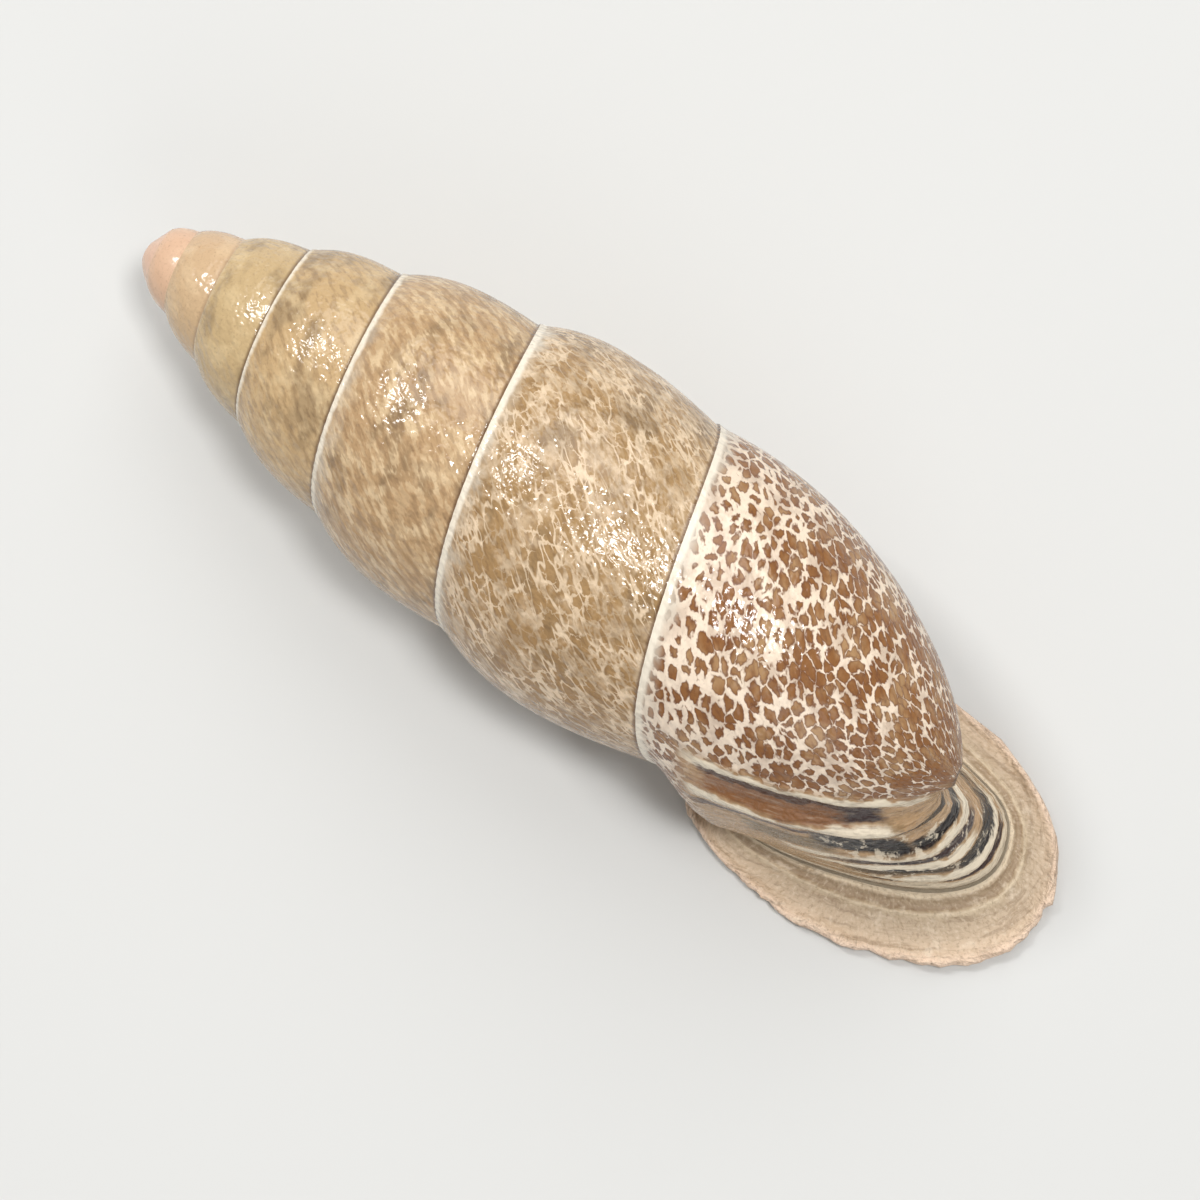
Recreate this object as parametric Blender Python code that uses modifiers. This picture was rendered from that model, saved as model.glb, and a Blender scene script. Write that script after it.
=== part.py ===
"""The shell of Bahiensis punctatissimus, a slender land snail, lying on its aperture.

The shell grew as one piece, so it is one closed solid.  It is worked out in millimetres in the
shell's own frame, seen from behind with the apex up: a point is (right, back, drop), where back is
the height above the spire's axis towards the viewer, and drop is the distance from the apex down
that axis.  A turn counts whole whorls along the coil; at turns 0, 1, 2 ... the coil passes the
middle of the back, and it grows towards the left.  The sheet of the shell is a grid: its columns
follow one another along the coil, and its rows run from the suture down each whorl.  The sheet
goes on over the lip and back into the mouth, so it closes on itself.
"""
import math

import bmesh
import bpy
import numpy as np
from mathutils import Matrix

MM = 0.001

# Size of the grid that the shell is computed on, of the cells that fuse its walls where they
# meet, and of the solid that is kept.
COLUMNS_PER_TURN = 100
ROWS = 32
INNER_RINGS = 16
FUSING_CELL = 0.07
TRIANGLES_KEPT = 9000

# The suture, where each whorl meets the one before: turn, drop from the apex, radius.
SUTURE = (
    (-1.3, 0.00, 0.00),
    (-0.9, 0.03, 0.33),
    (-0.5, 0.15, 0.58),
    (0.0, 0.38, 0.76),
    (0.5, 0.66, 0.90),
    (1.5, 1.60, 1.28),
    (2.5, 3.03, 1.91),
    (3.5, 4.97, 2.58),
    (4.5, 8.13, 3.37),
    (5.5, 12.64, 3.87),
    (6.5, 18.78, 3.65),
)
FIRST_TURN = SUTURE[0][0]

# The outer lip ends on the suture at this turn.  From the neck turn on, the growth lines leave
# the planes through the axis and swing towards the mouth.
NECK_TURN = 6.14
LIP_TURN = 6.42

# Below the last suture a whorl ends on the callus edge, as far as the callus end, and then on
# the narrow chink beside the columella: turn, drop, radius.
CALLUS_END = 5.56
CHINK_TIP = 5.85
LOWER_EDGE = (
    (5.42, 18.27, 3.66),
    (5.47, 18.10, 3.70),
    (5.52, 18.55, 3.60),
    (5.56, 19.75, 3.12),
    (5.585, 21.35, 2.26),
    (5.61, 22.40, 1.31),
    (5.66, 23.00, 0.66),
    (5.75, 23.28, 0.42),
    (5.90, 23.42, 0.34),
    (6.14, 23.50, 0.30),
)

# A whorl's profile is a cubic curve.  Its inner handles stand off the straight line between the
# two ends by these shares of the whorl's height; on the last whorl they also sit lower.
SHOULDER_OUT = 0.165
LOWER_OUT = 0.07
BASE_EXTRA_OUT = 0.015
BASE_SHOULDER_DOWN = 0.15
BASE_LOWER_DOWN = 0.20
BASE_FULL_TURN = 5.66

# The lip: ovals in the plane of the mouth, for the rim and for the root of the flange behind it.
RIM_CENTRE = (-1.754, 21.65)
RIM_HALF_HEIGHT = 5.36
RIM_HALF_WIDTH = 3.425
ROOT_CENTRE = (-1.85, 21.757)
ROOT_HALF_HEIGHT = 3.642
ROOT_HALF_WIDTH = 1.758
ROOT_TILT = math.radians(17.4)
ROOT_EXPONENT = 2.43
WALL = 0.32

# At this drop the plane of the mouth lies this far in front of the axis, and it leans forward
# by this slope.  The rim and the root lie behind the plane.
PLANE_DROP = 22.13
PLANE_FRONT = 4.65
PLANE_SLOPE = 0.10
RIM_DEPTH = 0.20
ROOT_DEPTH = 0.62
# On the columella and the whorl before it, the mouth's edge lies at least this far in front of
# the axis.
EDGE_FRONT = 2.3

# Where a row reaches the root and the rim: share of the row, angle in degrees from the top of
# the oval, anticlockwise as seen from behind.
ROOT_ANGLES = ((0, 14), (0.1, 34), (0.34, 78), (0.57, 122), (0.75, 168), (0.85, 208), (0.92, 238), (1, 275))
RIM_ANGLES = ((0, 30), (0.1, 54), (0.34, 86), (0.57, 140), (0.75, 183), (0.85, 222), (0.92, 254), (1, 296))
PARIETAL_ANGLES = (275, 374)

# Section of the flange: share of the way from root to rim, height of the surface behind the
# mouth's plane.  The back runs outwards, and its third number is the height of a ridge there.
# The front runs back in to the mouth's edge.
FLANGE_BACK = (
    (0.05, 0.58, 0.02), (0.09, 0.54, -0.04), (0.14, 0.47, 0.05), (0.19, 0.44, -0.01), (0.28, 0.43, -0.01),
    (0.34, 0.42, 0.05), (0.40, 0.41, 0.0), (0.50, 0.41, 0.0), (0.65, 0.42, 0.0), (0.80, 0.44, 0.0),
    (0.92, 0.45, 0.0), (0.985, 0.38, 0.0), (1.0, 0.20, 0.0),
)
FLANGE_FRONT = (
    (0.99, 0.07), (0.93, 0.0), (0.80, -0.02), (0.62, 0.0),
    (0.45, 0.06), (0.30, 0.16), (0.16, 0.30), (0.06, 0.44),
)

# Growth ridges across the neck: place along the neck, width, height, share of it on the upper
# half.  The furrowed stretch between the last ridges and the lip is sunk by FURROW_DEPTH.
NECK_RIDGES = (
    (0.045, 0.022, 0.05, 1.0),
    (0.245, 0.040, 0.10, 1.0),
    (0.520, 0.035, 0.17, 0.0),
    (0.680, 0.035, 0.17, 0.0),
    (0.830, 0.030, 0.17, 0.0),
)
BAND_DEPTH = 0.07
FURROW_DEPTH = 0.26

# Inside, the tube runs back round the columella for a little over half a whorl.
COLUMELLA_RADIUS = 0.7
WALL_INSIDE_SUTURE = 0.3
CORE_HEIGHT = 3.0
CORE_EXPONENT = 1.8
FIRST_DEPTH = 0.12
TUBE_DEPTH = 2.1
TUBE_TAPER = 0.55

# Teeth in the mouth: angle and half-width in degrees round the root, depth and half-length as
# shares of the tube, height.  In turn: parietal, columellar, basal, lower and upper palatal.
TEETH = (
    (322, 9, 0.14, 0.28, 1.00),
    (268, 11, 0.20, 0.26, 0.55),
    (200, 9, 0.10, 0.16, 0.50),
    (140, 9, 0.13, 0.20, 0.85),
    (100, 8, 0.13, 0.18, 0.60),
)

# The shell lies on the lip and on the fronts of two whorls: the turns that bring it down on to
# them, and how deep the flat spots go that it rests on.
REST_PITCH = math.radians(-4.09)
REST_ROLL = math.radians(1.46)
FLAT_DEPTH = 0.05

SHELL_COLOUR = (0.42, 0.24, 0.13, 1.0)
SHELL_ROUGHNESS = 0.35


def natural_curve(stations):
    """Return the natural cubic curve through stations of (position, value, ...)."""
    table = np.array(stations, float)
    x = table[:, 0]
    y = table[:, 1:]
    step = np.diff(x)
    last = len(x) - 1
    system = np.eye(last + 1)
    known = np.zeros_like(y)
    for i in range(1, last):
        system[i, i - 1:i + 2] = step[i - 1], 2 * (step[i - 1] + step[i]), step[i]
        known[i] = 6 * ((y[i + 1] - y[i]) / step[i] - (y[i] - y[i - 1]) / step[i - 1])
    bend = np.linalg.solve(system, known)

    def curve(position):
        position = np.asarray(position, float)
        i = np.clip(np.searchsorted(x, position) - 1, 0, last - 1)
        past = (position - x[i])[..., None]
        left = (x[i + 1] - position)[..., None]
        width = step[i][..., None]
        cubes = (bend[i] * left ** 3 + bend[i + 1] * past ** 3) / (6 * width)
        start = (y[i] / width - bend[i] * width / 6) * left
        end = (y[i + 1] / width - bend[i + 1] * width / 6) * past
        return cubes + start + end

    return curve


suture_at = natural_curve(SUTURE)
lower_edge_at = natural_curve(LOWER_EDGE)
root_angle_at = natural_curve(ROOT_ANGLES)
rim_angle_at = natural_curve(RIM_ANGLES)


def smooth_step(low, high, x):
    """Rise smoothly from 0 at low to 1 at high."""
    share = np.clip((x - low) / (high - low), 0, 1)
    return share * share * (3 - 2 * share)


def bell(x):
    return np.exp(-x * x)


def mix(first, second, share):
    return first * (1 - share) + second * share


def unit(vectors):
    return vectors / np.maximum(np.linalg.norm(vectors, axis=-1, keepdims=True), 1e-9)


def column_of(values):
    """Turn a row of numbers into a column, to scale a list of points by it."""
    return np.asarray(values)[:, None]


def on_coil(turn, drop, radius):
    """Return the point at a radius from the axis, on the side that the coil has reached."""
    angle = 2 * math.pi * turn
    return np.stack(np.broadcast_arrays(-radius * np.sin(angle), radius * np.cos(angle), drop), -1)


LIP_TOP = on_coil(LIP_TURN, *suture_at(LIP_TURN))
LIP_END = on_coil(CALLUS_END, *lower_edge_at(CALLUS_END))


def row_shares(count):
    """Shares of the way down a whorl, closer together near both ends."""
    even = np.linspace(0, 1, count + 1)
    return (even + 3 * even ** 2 - 2 * even ** 3) / 2


def whorl_profile(turn, shares):
    """Points down the whorl's outer face at one turn."""
    top = suture_at(turn)
    if turn <= LIP_TURN - 1:
        bottom = suture_at(turn + 1)
    else:
        bottom = lower_edge_at(min(turn, NECK_TURN))
    base = smooth_step(LIP_TURN - 1, BASE_FULL_TURN, turn)
    height = bottom[0] - top[0]
    shoulder_handle = np.array([base * BASE_SHOULDER_DOWN, SHOULDER_OUT + base * BASE_EXTRA_OUT])
    lower_handle = np.array([base * BASE_LOWER_DOWN, LOWER_OUT])
    upper = mix(top, bottom, 0.3) + height * shoulder_handle
    lower = mix(top, bottom, 0.7) + height * lower_handle
    v = column_of(shares)
    w = 1 - v
    profile = w ** 3 * top + 3 * w ** 2 * v * upper + 3 * w * v ** 2 * lower + v ** 3 * bottom
    return on_coil(turn, profile[:, 0], profile[:, 1])


def oval(degrees, centre, half_height, half_width, tilt=0.0, exponent=2.0):
    """Points (right, drop) of an oval at angles from its top, anticlockwise."""
    cosine = np.cos(np.radians(degrees))
    sine = np.sin(np.radians(degrees))
    reach = (np.abs(cosine) ** exponent + np.abs(sine) ** exponent) ** (-1 / exponent)
    down = np.array([math.sin(tilt), math.cos(tilt)])
    across = np.array([math.cos(tilt), -math.sin(tilt)])
    lengthwise = column_of(half_height * cosine * reach) * down
    crosswise = column_of(half_width * sine * reach) * across
    return np.array(centre) - lengthwise - crosswise


def mouth_plane(drop):
    return -(PLANE_FRONT + (drop - PLANE_DROP) * PLANE_SLOPE)


def lip_lines(shares):
    """Return the root and the rim of the outer lip, where each row of the sheet meets them."""
    flat = oval(root_angle_at(shares)[:, 0], ROOT_CENTRE, ROOT_HALF_HEIGHT, ROOT_HALF_WIDTH,
                ROOT_TILT, ROOT_EXPONENT)
    root = np.stack([flat[:, 0], mouth_plane(flat[:, 1]) + ROOT_DEPTH, flat[:, 1]], -1)
    root = mix(LIP_TOP, root, column_of(smooth_step(0, 0.16, shares)))
    root = mix(root, LIP_END, column_of(smooth_step(0.87, 1, shares)))

    angles = rim_angle_at(shares)[:, 0]
    flat = oval(angles, RIM_CENTRE, RIM_HALF_HEIGHT, RIM_HALF_WIDTH)
    depth = mouth_plane(flat[:, 1]) + RIM_DEPTH
    depth = mix(depth, LIP_END[1] - 0.2, smooth_step(246, 296, angles))
    rim = np.stack([flat[:, 0], depth, flat[:, 1]], -1)
    rim_top = LIP_TOP + np.array([-0.02, -0.16, -0.04])
    rim_end = LIP_END + np.array([0.12, -0.15, -0.05])
    rim = mix(rim_top, rim, column_of(smooth_step(-0.01, 0.075, shares)))
    rim = mix(rim, rim_end, column_of(smooth_step(0.9, 1, shares)))
    return root, rim


def neck_sheet(growth, shares):
    """Points of the neck, from the last straight column (growth 0) to the lip's root (1)."""
    start = whorl_profile(NECK_TURN, shares)
    coil_way = unit(start - whorl_profile(NECK_TURN - 0.01, shares))
    end, _ = lip_lines(shares)
    length = column_of(np.linalg.norm(end - start, axis=1))

    near_axis = column_of(smooth_step(0.72, 1, shares))
    leave = unit(mix(coil_way, np.array([0.0, -1.0, 0.15]), near_axis))
    columella = column_of(smooth_step(0.9, 1, shares))
    arrive = unit(mix(np.array([0.0, -1.0, 0.0]), np.array([0.5, -0.45, -0.8]), columella))
    below_suture = column_of(smooth_step(0, 0.2, shares))
    arrive = unit(mix(np.array([0.55, -0.75, 0.25]), arrive, below_suture))

    g = np.asarray(growth, float)[:, None, None]
    sheet = (2 * g ** 3 - 3 * g ** 2 + 1) * start + (g ** 3 - 2 * g ** 2 + g) * leave * length
    sheet = sheet + (3 * g ** 2 - 2 * g ** 3) * end + (g ** 3 - g ** 2) * arrive * length

    # The top row stays on the suture, and pulls the rows below it along.
    turns = NECK_TURN + (LIP_TURN - NECK_TURN) * g[:, 0, 0]
    suture = np.array([on_coil(turn, *suture_at(turn)) for turn in turns])
    pull = (1 - smooth_step(0, 0.3, shares))[None, :, None]
    return sheet + pull * (suture[:, None, :] - sheet[:, :1, :])


def neck_relief(growth, shares):
    """Height of the neck's ridges and furrows over its smooth form."""
    g = column_of(growth)
    lower_half = smooth_step(0.4, 0.62, shares)[None, :]
    height = -BAND_DEPTH * smooth_step(0.06, 0.09, g) * (1 - smooth_step(0.17, 0.21, g))
    furrow = smooth_step(0.27, 0.36, g) * (1 - smooth_step(0.86, 1, g))
    height = height - FURROW_DEPTH * furrow * mix(0.35, 1, lower_half)
    for place, width, ridge, upper_share in NECK_RIDGES:
        height = height + ridge * bell((g - place) / width) * mix(upper_share, 1, lower_half)
    fade = smooth_step(0.12, 0.3, shares) * (1 - smooth_step(0.72, 0.9, shares))
    return height * fade[None, :]


def core_radius(turn, drop):
    """Distance from the axis to the wall between the mouth and the whorl before it."""
    suture = suture_at(turn)
    down = np.clip((drop - suture[..., 0] + 0.15) / CORE_HEIGHT, 0, 1)
    top = suture[..., 1] - WALL_INSIDE_SUTURE
    return mix(COLUMELLA_RADIUS, top, (1 - down ** CORE_EXPONENT) ** (1 / CORE_EXPONENT))


def on_core(flat, lift):
    """Put points (right, drop) on the front of the wall, raised towards the mouth by lift."""
    right = flat[:, 0]
    drop = flat[:, 1]
    radius = np.full(len(right), 3.4)
    for _ in range(6):
        angle = math.pi + np.arcsin(np.clip(right / radius, -0.98, 0.98))
        radius = np.maximum(core_radius(6 + angle / (2 * math.pi), drop), np.abs(right) * 1.05)
    depth = np.sqrt(np.maximum(radius ** 2 - right ** 2, 0.05))
    return np.stack([right, -depth - lift, drop], -1)


def tube_section(depth, shares, wall_points):
    """The closed outline of the tube at a depth from the mouth, in neck lengths."""
    neck_turns = LIP_TURN - NECK_TURN
    if depth <= 1:
        outer = neck_sheet([1 - depth], shares)[0]
        turn = LIP_TURN - neck_turns * depth
    else:
        turn = NECK_TURN - neck_turns * (depth - 1)
        outer = whorl_profile(turn, shares)
    way = column_of(np.linspace(0, 1, wall_points + 2)[1:-1])
    inner = mix(outer[-1], outer[0], way)
    radius = np.maximum(np.hypot(inner[:, 0], inner[:, 1]), core_radius(turn, inner[:, 2]))
    angle = np.arctan2(-inner[:, 0], inner[:, 1])
    inner = np.stack([-radius * np.sin(angle), radius * np.cos(angle), inner[:, 2]], -1)
    return np.vstack([outer, inner])


def relax(ring, rounds):
    """Smooth a closed ring by moving each point towards its neighbours."""
    for _ in range(rounds):
        ring = ring / 2 + (np.roll(ring, 1, 0) + np.roll(ring, -1, 0)) / 4
    return ring


def mouth_edge(angles):
    """The ring where the flange turns into the tube, and how far each point is on the whorl."""
    flat = oval(angles, ROOT_CENTRE, ROOT_HALF_HEIGHT - WALL - 0.04, ROOT_HALF_WIDTH - WALL,
                ROOT_TILT, ROOT_EXPONENT)
    callus = smooth_step(232, 300, angles) - 0.45 * smooth_step(345, 374, angles)
    corner = 0.55 * (1 - smooth_step(14, 44, angles))
    on_whorl = np.where(angles > 180, callus, corner)
    lip_depth = mouth_plane(flat[:, 1]) + ROOT_DEPTH
    wall_depth = np.minimum(on_core(flat, 0.14)[:, 1], -EDGE_FRONT)
    depth = mix(lip_depth, wall_depth, on_whorl)
    return relax(np.stack([flat[:, 0], depth, flat[:, 1]], -1), 4)


def flange_rings(root, rim, edge):
    """Rings over the flange, from its root out to the rim and back in to the mouth's edge."""
    # The flange has its full section where it is wide and reaches the plane of the mouth.
    width = np.linalg.norm(rim - root, axis=1)
    behind = rim[:, 1] - mouth_plane(rim[:, 2]) - RIM_DEPTH
    full = relax(smooth_step(0.35, 0.95, width) * (1 - smooth_step(0.15, 0.7, behind)), 6)
    wide = full * smooth_step(0.9, 1.4, width)
    rings = []
    for share, height, ridge in FLANGE_BACK:
        ring = mix(root, rim, share)
        swell = ring[:, 1] + 0.1 * math.sin(math.pi * share)
        ring[:, 1] = mix(swell, mouth_plane(ring[:, 2]) + height + ridge * wide, full)
        rings.append(ring)
    for share, height in FLANGE_FRONT:
        ring = mix(edge, rim, share)
        swell = ring[:, 1] - 0.12 * math.sin(math.pi * share)
        ring[:, 1] = mix(swell, mouth_plane(ring[:, 2]) + height, full)
        rings.append(ring)
    return rings


def tube_rings(edge, shares, wall_points):
    """Rings inside the tube, from the mouth's edge back round the columella."""
    rings = [edge]
    for depth in np.linspace(0, 1, INNER_RINGS + 1)[1:]:
        place = FIRST_DEPTH + TUBE_DEPTH * depth ** 1.1
        section = tube_section(place, shares, wall_points)
        behind = tube_section(place + 0.05, shares, wall_points)
        along = unit(np.roll(section, -1, 0) - np.roll(section, 1, 0))
        inward = unit(np.cross(along, unit(behind - section)))
        if ((section.mean(0) - section) * inward).sum() < 0:
            inward = -inward
        section = relax(section + (WALL + 0.04 + 0.25 * depth) * inward, 8)
        middle = section.mean(0)
        section = mix(middle, section, 1 - TUBE_TAPER * depth ** 2)
        from_edge = edge + depth * np.array([0.5, 4.0, 0.0])
        rings.append(mix(from_edge, section, smooth_step(0, 0.28, depth)))
    return rings


def raise_teeth(ring, angles, depth):
    """Push a ring's points inwards at the teeth, towards the section's middle line."""
    middle = ring.mean(0)
    long_way = np.linalg.svd(ring - middle, full_matrices=False)[2][0]
    along = (ring - middle) @ long_way
    across = ring - middle - column_of(along) * long_way
    straight = np.abs(along).max() - np.linalg.norm(across, axis=1).max()
    target = middle + column_of(np.clip(along, -straight, straight)) * long_way
    inward = target - ring
    room = np.linalg.norm(inward, axis=1)
    height = np.zeros(len(ring))
    for angle, half_width, tooth_depth, half_length, tooth_height in TEETH:
        place = bell((angles - angle) / half_width) * bell((depth - tooth_depth) / half_length)
        height += tooth_height * place
    if depth == 0:
        height *= 0.6
    return ring + inward * column_of(np.minimum(height, 0.8 * room) / room)


class Sheet:
    """The points and faces of the shell's closed surface."""

    def __init__(self):
        self.points = []
        self.faces = []

    def add(self, points):
        """Add points, and return their numbers."""
        first = len(self.points)
        self.points.extend(points)
        return list(range(first, len(self.points)))

    def join(self, ring, following):
        """Join two rings of as many points."""
        count = len(ring)
        for k in range(count):
            after = (k + 1) % count
            self.faces.append((ring[k], following[k], following[after], ring[after]))

    def join_doubled(self, ring, following):
        """Join a ring to one that has twice as many points."""
        count = len(ring)
        for k in range(count):
            here, after = ring[k], ring[(k + 1) % count]
            left, middle, right = (following[(2 * k + i) % (2 * count)] for i in range(3))
            self.faces.append((here, left, middle))
            self.faces.append((here, middle, after))
            self.faces.append((after, middle, right))

    def join_strip(self, first, second):
        """Fill the strip between two lines of points that share both of their ends."""
        self.faces.append((first[0], first[1], second[1]))
        a = b = 1
        while a < len(first) - 2 or b < len(second) - 2:
            a_gap = b_gap = math.inf
            if a < len(first) - 2:
                a_gap = np.linalg.norm(self.points[first[a + 1]] - self.points[second[b]])
            if b < len(second) - 2:
                b_gap = np.linalg.norm(self.points[first[a]] - self.points[second[b + 1]])
            if a_gap < b_gap:
                self.faces.append((first[a], first[a + 1], second[b]))
                a += 1
            else:
                self.faces.append((first[a], second[b + 1], second[b]))
                b += 1
        self.faces.append((first[a], first[a + 1], second[b]))


def column_number(turn):
    return round((turn - FIRST_TURN) * COLUMNS_PER_TURN)


def coil_points(shares):
    """All columns of the outer sheet: the coil's, and then the neck's with their relief."""
    straight = column_number(NECK_TURN)
    turns = FIRST_TURN + np.arange(straight) / COLUMNS_PER_TURN
    coil = np.array([whorl_profile(turn, shares) for turn in turns])
    growth = np.linspace(0, 1, column_number(LIP_TURN) - straight + 1)
    neck = neck_sheet(growth, shares)
    outward = unit(np.cross(np.gradient(neck, axis=0), np.gradient(neck, axis=1)))
    from_axis = neck[:, len(shares) // 2] * np.array([1.0, 1.0, 0.0])
    if (outward[:, len(shares) // 2] * from_axis).sum() < 0:
        outward = -outward
    neck = neck + outward * neck_relief(growth, shares)[..., None]
    return np.concatenate([coil, neck])


def add_outer_sheet(sheet, shares):
    """Add the coil and the neck, and return the number of each point of the grid."""
    grid = coil_points(shares)
    last = len(grid) - 1
    numbers = [sheet.add(column[:-1]) for column in grid]
    for i, column in enumerate(numbers):
        if i + COLUMNS_PER_TURN <= last:
            # A whorl ends on the suture of the whorl that follows it.
            column.append(numbers[i + COLUMNS_PER_TURN][0])
        elif i < last:
            column.extend(sheet.add(grid[i][-1:]))
        else:
            column.append(numbers[column_number(CALLUS_END)][-1])
    for near, far in zip(numbers, numbers[1:]):
        for j in range(ROWS):
            sheet.faces.append((near[j], far[j], far[j + 1], near[j + 1]))
    return numbers


def close_apex(sheet, numbers):
    """Fill the first turn, round the point where the coil begins."""
    centre = numbers[0][0]
    for i in range(1, COLUMNS_PER_TURN - 1):
        sheet.faces.append((centre, numbers[i + 1][0], numbers[i][0]))
    for j in range(ROWS):
        sheet.faces.append((numbers[COLUMNS_PER_TURN - 1][0], numbers[0][j], numbers[0][j + 1]))


def close_chink(sheet, numbers):
    """Fill the chink between the start of the last whorl's lower edge and the neck."""
    tip = column_number(CHINK_TIP)
    whorl_side = [column[-1] for column in numbers[column_number(CALLUS_END):tip + 1]]
    neck_side = [column[-1] for column in numbers[:tip - 1:-1]]
    sheet.join_strip(whorl_side, neck_side)


def add_mouth(sheet, numbers, shares):
    """Add the flange, the rim, the teeth and the inside of the tube."""
    callus = column_number(CALLUS_END) - column_number(LIP_TURN - 1)
    start = column_number(CALLUS_END)
    parietal = [numbers[i][-1] for i in range(start, start - callus, -1)]
    lip = numbers[-1][:-1] + parietal

    # From here on the rings have twice as many points.
    fine_shares = np.interp(np.arange(2 * ROWS) / 2, np.arange(ROWS + 1), shares)
    root, rim = lip_lines(fine_shares)
    wall_points = 2 * callus
    turns = CALLUS_END - np.arange(wall_points) / (2 * COLUMNS_PER_TURN)
    callus_line = np.array([on_coil(turn, *lower_edge_at(turn)) for turn in turns])
    way = column_of(np.linspace(0, 1, wall_points))
    callus_lift = mix(np.array([0.1, -0.15, -0.05]), np.array([0.0, -0.15, -0.02]), way)
    root = np.vstack([root, callus_line])
    rim = np.vstack([rim, callus_line + callus_lift])

    wall_angles = np.linspace(*PARIETAL_ANGLES, wall_points + 1)[:-1]
    angles = np.concatenate([root_angle_at(fine_shares)[:, 0], wall_angles])
    edge = mouth_edge(angles)
    tube = tube_rings(edge, fine_shares, wall_points)
    tube = [raise_teeth(ring, angles, i / INNER_RINGS) for i, ring in enumerate(tube)]

    rings = [sheet.add(ring) for ring in flange_rings(root, rim, edge) + tube]
    sheet.join_doubled(lip, rings[0])
    for ring, following in zip(rings, rings[1:]):
        sheet.join(ring, following)
    end = sheet.add([tube[-1].mean(0)])[0]
    deepest = rings[-1]
    for k, number in enumerate(deepest):
        sheet.faces.append((number, end, deepest[(k + 1) % len(deepest)]))


def shell_sheet():
    """Return the points and faces of the whole shell, in millimetres, in the shell's frame."""
    sheet = Sheet()
    shares = row_shares(ROWS)
    numbers = add_outer_sheet(sheet, shares)
    close_apex(sheet, numbers)
    close_chink(sheet, numbers)
    add_mouth(sheet, numbers, shares)
    return np.array(sheet.points), sheet.faces


def shell_material():
    material = bpy.data.materials.new("shell")
    material.use_nodes = True
    surface = material.node_tree.nodes["Principled BSDF"]
    surface.inputs["Base Color"].default_value = SHELL_COLOUR
    surface.inputs["Roughness"].default_value = SHELL_ROUGHNESS
    surface.inputs["Metallic"].default_value = 0.0
    return material


def apply_modifier(obj, modifier):
    """Replace the object's mesh by what its one modifier makes of it."""
    evaluated = obj.evaluated_get(bpy.context.evaluated_depsgraph_get())
    mesh = bpy.data.meshes.new_from_object(evaluated)
    obj.modifiers.remove(modifier)
    obj.data = mesh


def fuse(obj):
    """Make one wall of walls that run into each other, as where the flange meets the whorl."""
    remesh = obj.modifiers.new("fuse", "REMESH")
    remesh.mode = "VOXEL"
    remesh.voxel_size = FUSING_CELL
    apply_modifier(obj, remesh)
    keep_largest_piece(obj.data)


def keep_largest_piece(mesh):
    """Delete the specks that are left where two walls cross at a shallow angle."""
    bm = bmesh.new()
    bm.from_mesh(mesh)
    left = set(bm.verts)
    pieces = []
    while left:
        piece = [left.pop()]
        for vertex in piece:
            for edge in vertex.link_edges:
                other = edge.other_vert(vertex)
                if other in left:
                    left.remove(other)
                    piece.append(other)
        pieces.append(piece)
    pieces.sort(key=len)
    for piece in pieces[:-1]:
        bmesh.ops.delete(bm, geom=piece, context="VERTS")
    bm.to_mesh(mesh)
    bm.free()


def simplify(obj, triangles):
    """Collapse the object's mesh to about a number of triangles."""
    count = sum(len(face.vertices) - 2 for face in obj.data.polygons)
    decimate = obj.modifiers.new("simplify", "DECIMATE")
    decimate.ratio = triangles / count
    apply_modifier(obj, decimate)


def lay_down(mesh):
    """Turn the shell on to its mouth, flatten the spots that it rests on and centre it."""
    # The spire's axis lies along +X, the shell's right along +Y and its back upwards.
    to_world = Matrix(((0, 0, 1, 0), (1, 0, 0, 0), (0, 1, 0, 0), (0, 0, 0, 1)))
    turned = Matrix.Rotation(REST_ROLL, 4, "X") @ Matrix.Rotation(REST_PITCH, 4, "Y") @ to_world
    mesh.transform(turned)
    low = [min(v.co[i] for v in mesh.vertices) for i in range(3)]
    high = [max(v.co[i] for v in mesh.vertices) for i in range(3)]
    shift = (-(low[0] + high[0]) / 2, -(low[1] + high[1]) / 2, -low[2] - FLAT_DEPTH)
    mesh.transform(Matrix.Translation(shift))

    bm = bmesh.new()
    bm.from_mesh(mesh)
    everything = bm.verts[:] + bm.edges[:] + bm.faces[:]
    bmesh.ops.bisect_plane(bm, geom=everything, plane_no=(0, 0, 1), clear_inner=True)
    open_edges = [edge for edge in bm.edges if edge.is_boundary]
    bmesh.ops.holes_fill(bm, edges=open_edges)
    bmesh.ops.recalc_face_normals(bm, faces=bm.faces)
    bm.to_mesh(mesh)
    bm.free()
    mesh.transform(Matrix.Scale(MM, 4))


def main():
    for obj in list(bpy.data.objects):
        bpy.data.objects.remove(obj)
    collection = bpy.data.collections.new("Bahiensis shell")
    bpy.context.scene.collection.children.link(collection)

    points, faces = shell_sheet()
    mesh = bpy.data.meshes.new("shell")
    mesh.from_pydata(points.tolist(), [], faces)
    shell = bpy.data.objects.new("shell", mesh)
    collection.objects.link(shell)
    fuse(shell)
    simplify(shell, TRIANGLES_KEPT)
    lay_down(shell.data)
    shell.data.shade_smooth()
    shell.data.set_sharp_from_angle(angle=math.radians(50))
    shell.data.materials.clear()
    shell.data.materials.append(shell_material())


main()
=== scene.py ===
# %% [markdown]
# # A land snail's shell, lying on its mouth
#
# The shell of *Bahiensis punctatissimus* is one coiled tube of lime, about 27 mm high. The snail
# adds to the edge of its mouth as it grows, so each whorl wraps round the one before. Such a shell
# could be sculpted, or spun by a Screw modifier. But a Screw widens evenly, and here the last
# whorls hardly widen and the neck swings out of the coil. So the script grows the shell along
# curves, and turns the grid of points that they give into one closed mesh.
#
# A point is worked out in millimetres in the shell's own frame, seen from behind with the apex
# up: (right, back, drop).

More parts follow.
